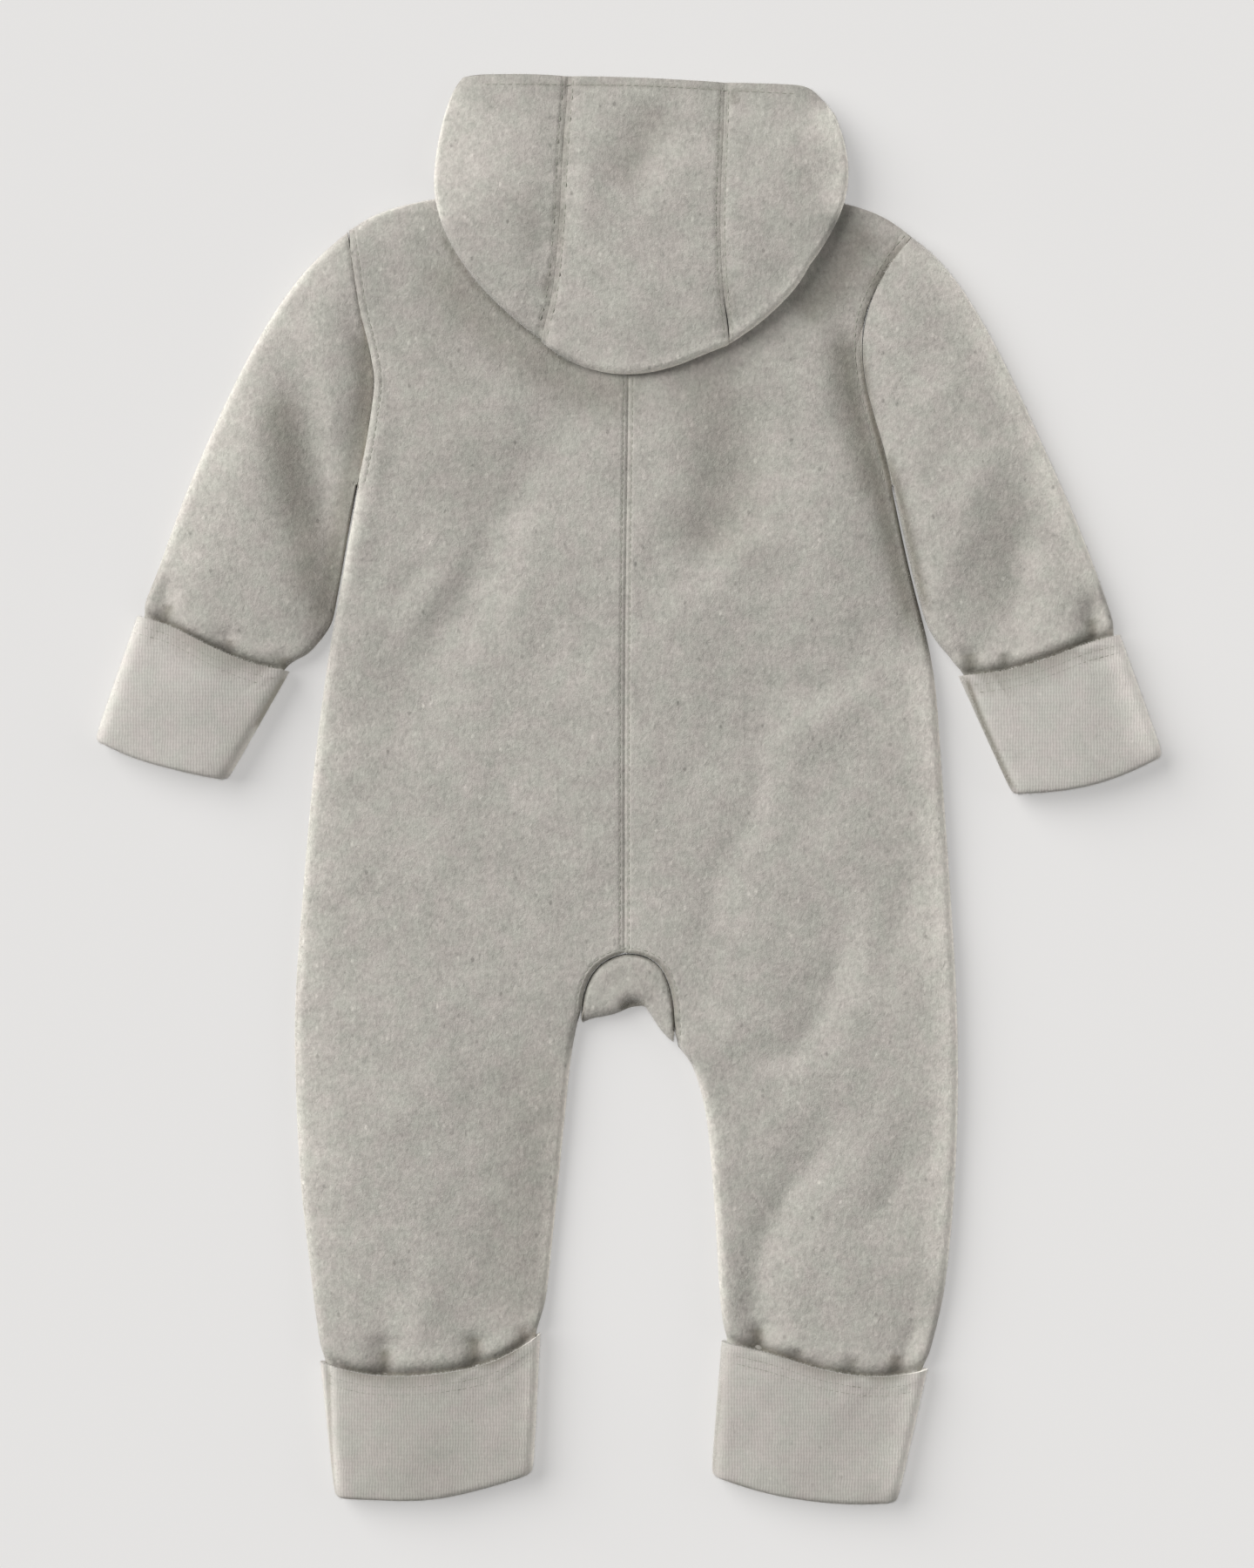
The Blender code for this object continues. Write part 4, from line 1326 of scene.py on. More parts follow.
def even(run: tuple[Place, ...], width: float, height: float) -> Crease:
    """A crease that keeps its height to both ends."""
    return Crease(run, width, height, start=1.0, end=1.0)


def tucked(name: str, dip: Place, swell: Place, aside: float = 0.0) -> tuple[Crease, Crease]:
    """Tucks the cloth into the mouth of a cuff.

    Args:
        name: the mouth.
        dip: how far above the mouth the cloth dips, and the dip's half width.
        swell: how far above the mouth the cloth swells, and the swell's half width.
        aside: how far to the right the swell lies.

    Returns:
        The dip and the swell.
    """
    mouth = MOUTHS[name]
    return (
        even(moved_up(mouth, dip[0]), dip[1], -2.0),
        even(moved_up(mouth, swell[0], aside), swell[1], 0.7),
    )


def mouth_shade(name: str) -> Shade:
    """The strip of painted shade where the cloth enters a cuff."""
    return Shade(moved_up(MOUTHS[name], 0.3), 2.2, 1.0)


@dataclass
class Back:
    """The back panels: their folds, the centre-back seam and the gusset's arc."""

    left: Cut = Cut(0.155, 0.592, 0.0745)
    right: Cut = Cut(0.155, 0.592, 0.0732)

    def creases(self) -> tuple[Crease, ...]:
        """Lists the folds of the back.

        Returns:
            The troughs and ridges, roughly from the shoulders down.
        """
        return (
            even(((-5, 190), (-3, 60), (-3, -60)), 75, 1.2),
            Crease(SIDE_LEFT, 14, -1.4, start=0.3, end=0.6),
            Crease(((-92, -60), (-90, -160), (-92, -262)), 36, 0.9, end=0.6),
            Crease(((96, -60), (94, -160), (92, -262)), 34, 1.0, end=0.6),
            Crease(((60, 204), (92, 236), (120, 268)), 13, -1.6, start=0.6, end=0.7),
            Crease(((98, 205), (110, 238), (120, 262)), 20, -1.4, start=0.2, end=0.7),
            Crease(
                ((-33, 167), (-47, 139), (-65, 111), (-77, 83), (-97, 57), (-117, 43)), 9, -1.1,
                lean=0.2,
            ),
            Crease(((-29, 157), (-45, 95), (-61, 43)), 13, 0.9),
            Crease(((-73, 115), (-101, 75), (-113, 67)), 5, 0.8),
            Crease(((-89, 108), (-104, 92), (-112, 80)), 5, -0.8),
            Crease(((-113, 196), (-114, 168), (-120, 130), (-130, 88)), 6, 1.2, end=0.3),
            Crease(((29, 196), (46, 177), (54, 151), (47, 123), (27, 99)), 14, -1.1, start=0.9),
            Crease(((12, 178), (24, 150), (14, 112)), 9, 0.9),
            Crease(((21, 75), (58, 111), (99, 116)), 8, 0.9),
            Crease(((56, 56), (88, 44), (118, 66)), 7, -1.0),
            Crease(((129, 75), (94, 33), (71, 15), (71, -17)), 10, 1.4),
            Crease(((65, 43), (63, 19), (57, -9), (45, -33), (37, -57), (36, -85)), 8, -1.0),
            Crease(((101, -45), (97, -73), (91, -97), (79, -117), (59, -129)), 6, -1.0),
            Crease(((112, -48), (109, -76), (104, -104), (92, -128)), 7, 0.9),
            Crease(((133, -31), (127, -53), (121, -81)), 6, -0.9),
            Crease(
                (
                    (130, 254), (122, 240), (112, 225), (107, 205), (109, 188),
                    (113, 172), (118, 156), (124, 125), (131, 95), (138, 66),
                ),
                12, -3.2, start=0.8, lean=-0.2,
            ),
            Crease(
                ((98, -150), (86, -168), (74, -184), (65, -200), (60, -215), (60, -256)), 6, -1.3,
                end=1.0,
            ),
            Crease(((82, -200), (76, -225), (76, -252)), 8, 0.9, end=0.6),
            Crease(((131, -161), (123, -181), (113, -201)), 6, -0.9),
            Crease(((134, -240), (130, -252), (124, -268)), 4.5, -1.6, end=1.0),
            Crease(((-111, -248), (-112, -258), (-112, -268)), 6, -2.8, end=1.0),
            Crease(((-71, -246), (-70, -256), (-70, -266)), 6, -2.2, end=1.0),
            Crease(((60, -243), (60, -258)), 5, -2.2, end=1.0),
            Crease(((78, -254), (77, -266)), 4, -1.6, end=1.0),
            Crease(((103, -258), (103, -270)), 4, -1.6, end=1.0),
            Crease(((-95, -225), (-96, -250)), 8, 0.9, end=1.0),
            Crease(((-50, -244), (-47, -256)), 5, -1.8, end=1.0),
            Crease(((-69, -132), (-48, -165), (-45, -190)), 13, -0.9),
            *tucked("ankle_left", (0.4, 2.6), (7.0, 3.6)),
            *tucked("ankle_right", (0.4, 2.6), (7.0, 3.6)),
        )

    def seams(self, side: str) -> tuple[Seam, ...]:
        """Lists the seams along one panel.

        Args:
            side: the panel.

        Returns:
            The centre seam, the gusset's arc and the armhole.
        """
        armhole = {
            "left": Seam(
                ARMHOLE_LEFT, gap=0.9, groove=0.25, rows=(ROW_ARMHOLE,), pucker=0.1,
                band=-0.6, band_width=4.0, tint=0.2, tint_width=2.6,
            ),
            "right": Seam(
                ARMHOLE_RIGHT, gap=0.9, groove=0.4, rows=(-ROW_ARMHOLE,), pucker=0.1,
                tint=0.45, tint_width=2.6,
            ),
        }
        return (
            Seam(
                CENTRE_BACK, groove=0.25, rows=(ROW_CENTRE, -ROW_CENTRE), pucker=0.08,
                band=-0.1, tint=0.22, tint_width=2.8,
            ),
            Seam(
                GUSSET_ARC, gap=0.12, groove=0.5, groove_width=1.6, rows=(ROW_GUSSET,), pucker=0.08,
                band=-0.3, tint=0.7, tint_width=1.9,
            ),
            armhole[side],
        )

    def shades(self) -> tuple[Shade, ...]:
        """Lists the painted shade on the back.

        Returns:
            Strips beside the rim of the hood, in the folds and at the cuffs.
        """
        return (
            Shade(((76, 214), (96, 234), (112, 262)), 12.0, 0.6),
            Shade(RIM_LEFT, 2.6, 0.75),
            Shade(((-86, 225), (-84, 180), (-62, 120)), 34.0, 0.18),
            Shade(((28, 200), (42, 168), (46, 136), (34, 100)), 24.0, 0.42),
            Shade(((-34, -108), (-42, -180), (-50, -262)), 28.0, 0.34),
            Shade(RIM_BESIDE, 14.0, 0.56),
            Shade(((128, 252), (118, 240), (110, 226)), 4.5, 0.7),
            Shade(((98, 222), (101, 192), (107, 166), (115, 138), (124, 100), (134, 62)), 6.0, 0.78),
            Shade(((97, 214), (101, 190), (108, 158), (116, 128)), 9.5, 0.7),
            Shade(ARMHOLE_FOLD, 2.2, 1.0),
            Shade(((-112, -256), (-112, -270)), 3.5, 0.9),
            Shade(((-71, -250), (-70, -268)), 4.5, 0.9),
            Shade(((-49, -246), (-47, -258)), 3.0, 0.7),
            Shade(((59, -246), (60, -264)), 4.0, 0.95),
            Shade(((78, -256), (77, -268)), 3.0, 0.6),
            Shade(((103, -260), (103, -272)), 3.0, 0.6),
            Shade(((123, -258), (122, -272)), 4.0, 0.85),
            mouth_shade("ankle_left"),
            mouth_shade("ankle_right"),
        )

    def edges(self) -> tuple[Shade, ...]:
        """Lists the painted highlight on the back.

        Returns:
            Strips along the turned edges, and one beside the hood's lower rim.
        """
        return (
            Shade(SIDE_LEFT, 14.0, 0.35),
            Shade(SIDE_RIGHT, 11.0, 1.0),
            Shade(INSEAM_LEFT, 5.0, 1.0),
            Shade(INSEAM_RIGHT, 5.0, 0.3),
            Shade(((-123, 224), (-118, 196), (-118, 172), (-124, 140), (-132, 90)), 6.0, 0.4),
            Shade(((-56, 280), (-100, 271), (-126, 258)), 14.0, 0.35),
            Shade(RIM_LOW, 3.5, 1.0),
        )

    def build(self) -> list[bpy.types.Object]:
        """Makes both panels.

        Returns:
            The left and the right panel.
        """
        shapes = (*self.creases(), *UNEVEN)
        return [
            ClothPiece(
                node=f"back_{word}",
                cut=cut,
                rests_on=(f"front_{word}",),
                shapes=shapes,
                seams=self.seams(word),
                shades=self.shades(),
                edges=self.edges(),
            ).build()
            for word, cut in (("left", self.left), ("right", self.right))
        ]


@dataclass
class Front:
    """The front panels and the placket, which lie on the floor."""

    left: Cut = Cut(0.155, 0.592, 0.0698)
    right: Cut = Cut(0.155, 0.592, 0.0685)
    placket: Cut = Cut(0.0262, 0.336)

    def build(self) -> None:
        """Makes the panels and the placket."""
        for word in ("left", "right", "placket"):
            ClothPiece(node=f"front_{word}", cut=getattr(self, word), fine=False).build()


@dataclass
class Gusset:
    """The piece set in below the arc between the legs."""

    cut: Cut = Cut(0.046, 0.065, 0.0024)

    FOLD = ((-5, -101), (0, -98.4), (5, -97.6), (9, -99))

    def build(self) -> bpy.types.Object:
        """Makes the gusset.

        Returns:
            The piece.
        """
        return ClothPiece(
            node="crotch_gusset",
            cut=self.cut,
            lie=Lie.FOLDED,
            shapes=(
                Crease(((-10, -93), (2, -92), (12, -95)), 5, 0.8),
                Crease(self.FOLD, 3.0, -2.4),
                UNEVEN[1],
                UNEVEN[2],
            ),
            seams=(Seam(GUSSET_ARC, gap=0.12, groove=0.5, groove_width=1.6, pucker=0.05, tint=0.7),),
            # Painted shade along the fold mark and over the middle of the gusset
            shades=(
                Shade(self.FOLD, 2.6, 0.9),
                Shade(((-8, -94), (0, -88), (14, -96)), 20.0, 0.22),
            ),
        ).build()


@dataclass
class Sleeves:
    """The two set-in sleeves."""

    left: Cut = Cut(0.2, 0.25, 0.0309)
    right: Cut = Cut(0.2, 0.25, 0.0333)

    def creases(self) -> dict[str, tuple[Crease, ...]]:
        """Lists the folds of each sleeve.

        Returns:
            The troughs and ridges by side.
        """
        return {
            "left": (
                Crease(SLEEVE_OUTER_LEFT, 16, -2.6, start=0.5, end=0.6),
                Crease(((-155, 215), (-172, 150), (-192, 82)), 26, 1.0, start=0.5, end=0.6),
                Crease(
                    ((-150, 202), (-149, 163), (-143, 143), (-139, 122), (-135, 103), (-136, 76)),
                    13, -2.8, end=0.8, lean=-0.3,
                ),
                Crease(((-143, 200), (-137, 172), (-131, 145)), 5, 0.8),
                Crease(((-119, 218), (-118, 196), (-118, 176), (-122, 152)), 6, -1.4),
                Crease(((-210, 100), (-212, 88), (-213, 74)), 5, -2.2, end=1.0),
                Crease(((-184, 76), (-184, 60)), 5, -1.6, end=1.0),
                Crease(((-159, 66), (-157, 50)), 5, -1.6, end=1.0),
                *tucked("hand_left", (0.3, 2.4), (6.5, 3.4), aside=-2.0),
            ),
            "right": (
                Crease(((150, 220), (172, 150), (192, 75)), 26, 1.0, start=0.5, end=0.6),
                Crease(((108, 206), (113, 172), (124, 132), (138, 76)), 9, -2.0, end=0.6),
                Crease(((126, 190), (132, 150), (146, 96)), 12, 0.9, end=0.4),
                Crease(((171, 167), (159, 139), (153, 115), (143, 91), (143, 75)), 8, 0.8),
                Crease(((187, 147), (183, 123), (179, 91), (177, 59)), 9, -1.2, end=0.8),
                Crease(((205, 106), (205, 90), (202, 74)), 7, 0.8, end=1.0),
                Crease(((212, 92), (213, 80), (213, 64)), 5, -2.2, end=1.0),
                Crease(((158, 68), (158, 50)), 6, -1.8, end=1.0),
                Crease(((174, 64), (174, 52)), 4, -1.0, end=1.0),
                *tucked("hand_right", (0.3, 2.4), (6.5, 3.4), aside=2.0),
            ),
        }

    def seams(self) -> dict[str, Seam]:
        """Gives the armhole seam of each sleeve.

        Returns:
            The seams by side.
        """
        return {
            "left": Seam(
                ARMHOLE_LEFT, gap=0.9, groove=0.25, pucker=0.1, band=-0.6, band_width=4.0, tint=0.2,
            ),
            "right": Seam(ARMHOLE_RIGHT, gap=0.9, groove=0.3, pucker=0.1, tint=0.2),
        }

    def shades(self) -> dict[str, tuple[Shade, ...]]:
        """Lists the painted shade on each sleeve.

        Returns:
            Strips in the folds and at the cuff, by side.
        """
        return {
            "left": (
                Shade(
                    ((-124, 222), (-120, 196), (-121, 166), (-130, 132), (-139, 92), (-146, 60)), 8.0, 0.7
                ),
                Shade(((-162, 190), (-155, 147), (-148, 115), (-144, 78)), 12.0, 0.62),
                Shade(((-211, 86), (-214, 72)), 3.5, 0.8),
                Shade(((-183, 70), (-184, 56)), 3.5, 0.7),
                Shade(((-158, 62), (-155, 46)), 4.0, 0.8),
                mouth_shade("hand_left"),
            ),
            "right": (
                mouth_shade("hand_right"),
                Shade(ARMHOLE_FOLD, 2.4, 1.0),
                Shade(((116, 160), (124, 136), (130, 110), (138, 76)), 3.0, 0.8),
                Shade(((176, 145), (170, 110), (164, 72)), 12.0, 0.23),
                Shade(((212, 80), (214, 62)), 3.5, 0.85),
                Shade(((156, 64), (159, 46)), 4.5, 0.8),
                Shade(((172, 64), (174, 50)), 3.0, 0.6),
            ),
        }

    def build(self) -> list[bpy.types.Object]:
        """Makes both sleeves.

        Returns:
            The left and the right sleeve.
        """
        # Painted highlight along the outer edge of each sleeve
        edges = {
            "left": Shade(SLEEVE_OUTER_LEFT, 22.0, 0.45),
            "right": Shade(SLEEVE_OUTER_RIGHT, 9.0, 1.0),
        }
        return [
            ClothPiece(
                node=f"sleeve_{word}",
                cut=cut,
                foot=3.6,
                crest=8.2,
                shapes=(*self.creases()[word], *UNEVEN),
                seams=(self.seams()[word],),
                shades=self.shades()[word],
                edges=(edges[word],),
            ).build()
            for word, cut in (("left", self.left), ("right", self.right))
        ]


@dataclass
class Cuffs:
    """The four turned-back cuffs, which show the smooth side of the cloth."""

    hand: Cut = Cut(0.155, 0.078)
    ankle: Cut = Cut(0.21, 0.078)

    def creases(self) -> dict[str, tuple[Crease, ...]]:
        """Lists the folds of each cuff.

        Returns:
            The swell down each cuff, and the groove at one side seam, by cuff.
        """
        return {
            "hand_left": (even(((-184, 62), (-198, 36), (-208, 8)), 26, 2.0),),
            "hand_right": (even(((182, 56), (200, 30), (210, 6)), 24, 1.4),),
            "ankle_left": (
                Crease(((-104, -266), (-104, -296), (-102, -324)), 30, 1.9, start=1.0, end=0.8),
                even(((-137.4, -256), (-136.8, -290), (-135.2, -328)), 2.2, -1.8),
            ),
            "ankle_right": (Crease(((78, -264), (76, -296), (74, -324)), 32, 1.6, start=1.0, end=0.8),),
        }

    def hems(self, mouth: tuple[Place, ...]) -> tuple[Crease, ...]:
        """Lists what the hem does to a cuff.

        Args:
            mouth: the mouth of the cuff.

        Returns:
            The lip, the two grooves of the hem with the ridge between them, and a
            broad swell below.
        """
        return (
            even(moved_up(mouth, -2.2), 2.0, 0.5),
            even(moved_up(mouth, -HEM_ROWS["edge"]), 1.8, -0.4),
            even(moved_up(mouth, -6.4), 1.8, 0.3),
            even(moved_up(mouth, -HEM_ROWS["hem"]), 1.8, -0.5),
            even(moved_up(mouth, -28.0), 34.0, 0.8),
        )

    def shades(self) -> dict[str, tuple[Shade, ...]]:
        """Lists where the cuffs lie in the shade of their own folds.

        Returns:
            Strips by cuff.
        """
        return {
            "hand_left": (
                Shade(((-160, 50), (-176, 26), (-186, 2)), 7.0, 0.35),
                Shade(((-155.6, 54), (-162.4, 43), (-172, 26)), 2.0, 1.0),
            ),
            "hand_right": (Shade(((153, 56), (162.2, 31.5), (169.4, 14.9), (178.6, -5)), 1.7, 1.0),),
            "ankle_left": (
                Shade(((-46, -246), (-50, -290), (-54, -330)), 40.0, 0.4),
                Shade(((-92, -240), (-92, -352)), 80.0, 0.42),
                Shade(((-137.4, -260), (-136.8, -290), (-135.2, -328)), 1.6, 0.7),
                Shade(((-137, -325), (-116, -326.4), (-88, -326)), 2.4, 0.9),
                Shade(((-88, -325.4), (-64, -321), (-44, -314)), 2.0, 0.6),
            ),
            "ankle_right": (
                Shade(((124, -326), (105, -328), (79, -326), (59, -322), (38, -314)), 2.4, 0.8),
                Shade(((43.2, -266), (41.0, -290), (38.6, -318)), 1.3, 0.6),
                Shade(((44, -250), (42, -320)), 14.0, 0.34),
                Shade(((90, -240), (84, -352)), 80.0, 0.32),
            ),
        }

    def build(self) -> list[bpy.types.Object]:
        """Makes the cuffs.

        Returns:
            The two hand cuffs, then the two ankle cuffs.
        """
        made = []
        for name, mouth in MOUTHS.items():
            kind, side = name.split("_")
            piece = ClothPiece(
                node=f"{kind}_cuff_{side}",
                cut=getattr(self, kind),
                lie=Lie.FOLDED,
                slot=Slot.REVERSE,
                finish=REVERSE.material,
                foot=7.0,
                crest=11.5,
                shapes=(*self.creases()[name], *self.hems(mouth), *CUFF_UNEVEN),
                # Painted shade on the end wall at the mouth and along the hem's two grooves, which are
                # partly the hem's own darker lines, then the cuff's own painted shade
                shades=(
                    Shade(moved_up(mouth, 0.9), 1.2, 1.0),
                    *(Shade(moved_up(mouth, -down), 1.6, 0.4) for down in HEM_ROWS.values()),
                    *self.shades()[name],
                ),
                edges=CUFF_EDGES[name],
            )
            made.append(piece.build())
        return made


@dataclass
class Hood:
    """The three outer panels of the hood and the layers folded under them."""

    left: Cut = Cut(0.062, 0.13, 0.0058)
    centre: Cut = Cut(0.086, 0.138, 0.0109)
    right: Cut = Cut(0.058, 0.122, 0.0053)
    under: Cut = Cut(0.19, 0.085, 0.012)
    brow: Cut = Cut(0.19, 0.055)

    def creases(self) -> tuple[object, ...]:
        """Lists the folds of the hood.

        Returns:
            The troughs and ridges, and the cloth's unevenness.
        """
        return (
            Crease(((-4, 322), (4, 270), (4, 215)), 60, 1.0, start=0.6, end=0.8),
            Crease(RIM, 13, -0.9, start=0.5, end=0.5),
            Crease(RIM_LEFT, 13, -1.2, start=0.5),
            Crease(HOOD_EDGE_LEFT, 24, -2.2, start=0.6, end=0.3),
            Crease(((16, 318), (7, 296), (-4, 270)), 13, -2.8),
            Crease(((30, 306), (19, 280), (5, 256)), 10, 0.9),
            Crease(((-19, 298), (-19, 270), (-20, 248)), 5, 0.8),
            Crease(((-36, 300), (-38, 250), (-43, 214)), 8, -1.2, start=0.5, end=1.0),
            Crease(((-62, 310), (-64, 262)), 18, 0.9),
            Crease(((72, 305), (72, 262)), 18, 0.9),
            *UNEVEN,
        )

    def shifts(self) -> tuple[Shift, ...]:
        """Lists how the panels come to follow the curved seams and the fuller rim.

        Returns:
            The shifts.
        """
        return (
            Shift(HOOD_JOIN_LEFT, HOOD_SEAM_LEFT),
            Shift(HOOD_JOIN_RIGHT, HOOD_SEAM_RIGHT),
            Shift(RIM_CUT, RIM_FULL, reach=12.0),
        )

    def seams(self) -> tuple[Seam, ...]:
        """Lists the two long seams of the hood.

        Returns:
            The left and the right seam.
        """
        return (
            Seam(
                HOOD_SEAM_LEFT, gap=0.7, groove=0.4, groove_width=1.6,
                rows=(ROW_HOOD_LEFT, -ROW_HOOD_LEFT), pucker=0.45, pucker_pitch=7.0, band=0.1,
                tint=0.4, tint_width=3.0,
            ),
            Seam(
                HOOD_SEAM_RIGHT, gap=0.7, groove=0.3, rows=(ROW_HOOD_RIGHT, -ROW_HOOD_RIGHT),
                pucker=0.22, band=0.1, band_width=2.6, tint=0.35, tint_width=2.8,
            ),
        )

    def shades(self) -> tuple[Shade, ...]:
        """Lists the painted shade on the hood.

        Returns:
            Strips at its hem, which is partly its own darker line, in the dent and beside the puckered
            seams.
        """
        return (
            Shade(((-56, 323.4), (0, 322.6), (72, 319.6)), 1.0, 0.4),
            Shade(((15, 316), (6, 296), (-4, 272)), 11.0, 0.36),
            Shade(((-29, 306), (-30, 284)), 3.5, 0.5),
            Shade(((-31, 270), (-32, 244)), 4.0, 0.55),
            Shade(((-36, 236), (-38, 224)), 3.5, 0.5),
            Shade(((-50, 276), (-42, 246)), 9.0, 0.2),
            Shade(((48, 321), (49, 313)), 3.0, 0.5),
            Shade(((43, 308), (42.6, 285)), 3.0, 0.5),
            Shade(((42, 282), (42, 268)), 3.0, 0.4),
            Shade(((43, 236), (46, 214)), 3.5, 0.5),
        )

    def build(self) -> list[bpy.types.Object]:
        """Makes the panels and the folded layers.

        Returns:
            The three panels, then the two layers.
        """
        panels = [
            ClothPiece(
                node=f"hood_{word}",
                cut=cut,
                rests_on=("hood_under", "hood_brow"),
                foot=6.0,
                crest=9.0,
                shifts=self.shifts(),
                shapes=self.creases(),
                seams=self.seams(),
                shades=self.shades(),
                # Painted highlight along the hood's side edges and on its lower rim
                edges=(
                    Shade(HOOD_EDGE_LEFT, 24.0, 0.45),
                    Shade(HOOD_EDGE_RIGHT, 12.0, 1.0),
                    Shade(RIM_LOW, 6.0, 1.0),
                ),
            )
            for word, cut in (("left", self.left), ("centre", self.centre), ("right", self.right))
        ]
        layers = [
            ClothPiece(
                node=f"hood_{word}",
                cut=cut,
                lie=Lie.FOLDED,
                foot=foot,
                crest=crest,
                shapes=self.creases(),
                fine=False,
                crisp=0.0,
            )
            for word, cut, foot, crest in (("under", self.under, 9.2, 12.6), ("brow", self.brow, 4.0, 8.5))
        ]
        return [piece.build() for piece in (*panels, *layers)]


@dataclass
class Buttons:
    """Turned buttons with four holes, sewn to the placket with their faces down.

    Fields: radius and height; rim, how wide the rim is; slope, how wide the slope
    from the rim to the face is; dish, how deep the face lies; rounding of the edges;
    hole, a hole's radius; hole_reach, from the middle to a hole; thread, how thick
    it is; proud, how far its middle stands out of the face; count of the buttons.
    """

    radius: float = 8.0
    height: float = 1.5
    rim: float = 1.5
    slope: float = 0.5
    dish: float = 0.45
    rounding: float = 0.3
    hole: float = 0.85
    hole_reach: float = 1.5
    thread: float = 0.5
    proud: float = 0.12
    count: int = 5

    DOWNWARD = -0.9
    DRILL_LENGTH = 10.0
    EDGE = math.radians(50.0)
    SMOOTH = math.radians(40.0)

    def build(self) -> None:
        """Makes every button with its thread."""
        for number in range(1, self.count + 1):
            node = f"button_{number}"
            corners = [Vector(corner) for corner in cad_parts[node].bound_box]
            middle = sum(corners, Vector()) / len(corners)
            place = (middle.x, middle.y, min(corner.z for corner in corners))
            self._turn_button(node, place)
            self._sew_on(node, place)
            LOG.info("%s: turned and sewn on", node)

    def _turn_button(self, node: str, place: tuple[float, float, float]) -> None:
        """Turns a button from a disc: a dished face, round edges and four holes.

        Args:
            node: the solid that it replaces.
            place: the middle of its face.
        """
        bpy.ops.object.select_all(action="DESELECT")
        middle = (place[0], place[1], place[2] + self.height * MM / 2)
        bpy.ops.mesh.primitive_cylinder_add(
            vertices=40, radius=self.radius * MM, depth=self.height * MM, location=middle
        )
        button = bpy.context.active_object
        button.name = node + "_turned"
        bpy.ops.object.transform_apply(location=True, rotation=True, scale=True)
        bpy.ops.object.mode_set(mode="EDIT")
        bpy.ops.mesh.select_mode(type="FACE")
        bpy.ops.mesh.select_all(action="DESELECT")
        bpy.ops.object.mode_set(mode="OBJECT")
        for face in button.data.polygons:
            face.select = face.normal.z < self.DOWNWARD
        bpy.ops.object.mode_set(mode="EDIT")
        bpy.ops.mesh.inset(thickness=self.rim * MM)
        bpy.ops.mesh.inset(thickness=self.slope * MM)
        bpy.ops.transform.translate(value=(0.0, 0.0, self.dish * MM))
        bpy.ops.object.mode_set(mode="OBJECT")
        rounding = button.modifiers.new("rounding", "BEVEL")
        rounding.width = self.rounding * MM
        rounding.segments = 3
        rounding.angle_limit = self.EDGE
        select_only(button)
        bpy.ops.object.modifier_apply(modifier=rounding.name)
        self._drill(button, place)
        bpy.ops.object.shade_smooth_by_angle(angle=self.SMOOTH)
        button.data.materials.clear()
        button.data.materials.append(HORN.material())
        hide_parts(node)
        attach(button, "root")

    def _drill(self, button: bpy.types.Object, place: tuple[float, float, float]) -> None:
        """Drills the four holes.

        Args:
            button: the turned button.
            place: the middle of its face.
        """
        for corner in range(4):
            angle = math.radians(45.0 + 90.0 * corner)
            x = place[0] + self.hole_reach * MM * math.cos(angle)
            y = place[1] + self.hole_reach * MM * math.sin(angle)
            bpy.ops.object.select_all(action="DESELECT")
            bpy.ops.mesh.primitive_cylinder_add(
                vertices=16, radius=self.hole * MM, depth=self.DRILL_LENGTH * MM, location=(x, y, place[2])
            )
            drill = bpy.context.active_object
            hole = button.modifiers.new("hole", "BOOLEAN")
            hole.object = drill
            hole.operation = "DIFFERENCE"
            select_only(button)
            bpy.ops.object.modifier_apply(modifier=hole.name)
            bpy.data.objects.remove(drill)

    def _sew_on(self, node: str, place: tuple[float, float, float]) -> None:
        """Lays two short threads from hole to hole across the button's face.

        Args:
            node: the solid that the button replaces.
            place: the middle of its face.
        """
        side = self.hole_reach * MM * math.sqrt(0.5)
        strands = []
        for way in (-1.0, 1.0):
            bpy.ops.object.select_all(action="DESELECT")
            bpy.ops.mesh.primitive_cylinder_add(
                vertices=10,
                radius=self.thread * MM / 2,
                depth=2.0 * side + self.hole * MM,
                location=(place[0], place[1] + way * side, place[2] + (self.dish - self.proud) * MM),
                rotation=(0.0, math.pi / 2, 0.0),
            )
            strands.append(bpy.context.active_object)
        select_only(strands[0])
        strands[1].select_set(True)
        bpy.ops.object.join()
        bpy.ops.object.transform_apply(location=True, rotation=True, scale=True)
        thread = bpy.context.active_object
        thread.name = node + "_thread"
        bpy.ops.object.shade_smooth_by_angle(angle=self.EDGE)
        thread.data.materials.clear()
        thread.data.materials.append(THREAD.material())
        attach(thread, "root")


# Sewing


@dataclass(frozen=True)
class StitchRow:
    """A row of stitches laid on the cloth.

    Fields: name; run on the plan; on, the solids of the pieces it is sewn to; aside,
    how far to its left the row lies; pitch from stitch to stitch; sink, how deep the
    thread lies in the nap; thread, how thick it is.
    """

    name: str
    run: tuple[Place, ...]
    on: tuple[str, ...]
    aside: float = 0.0
    pitch: float = 3.4
    sink: float = 0.06
    thread: float = 0.5


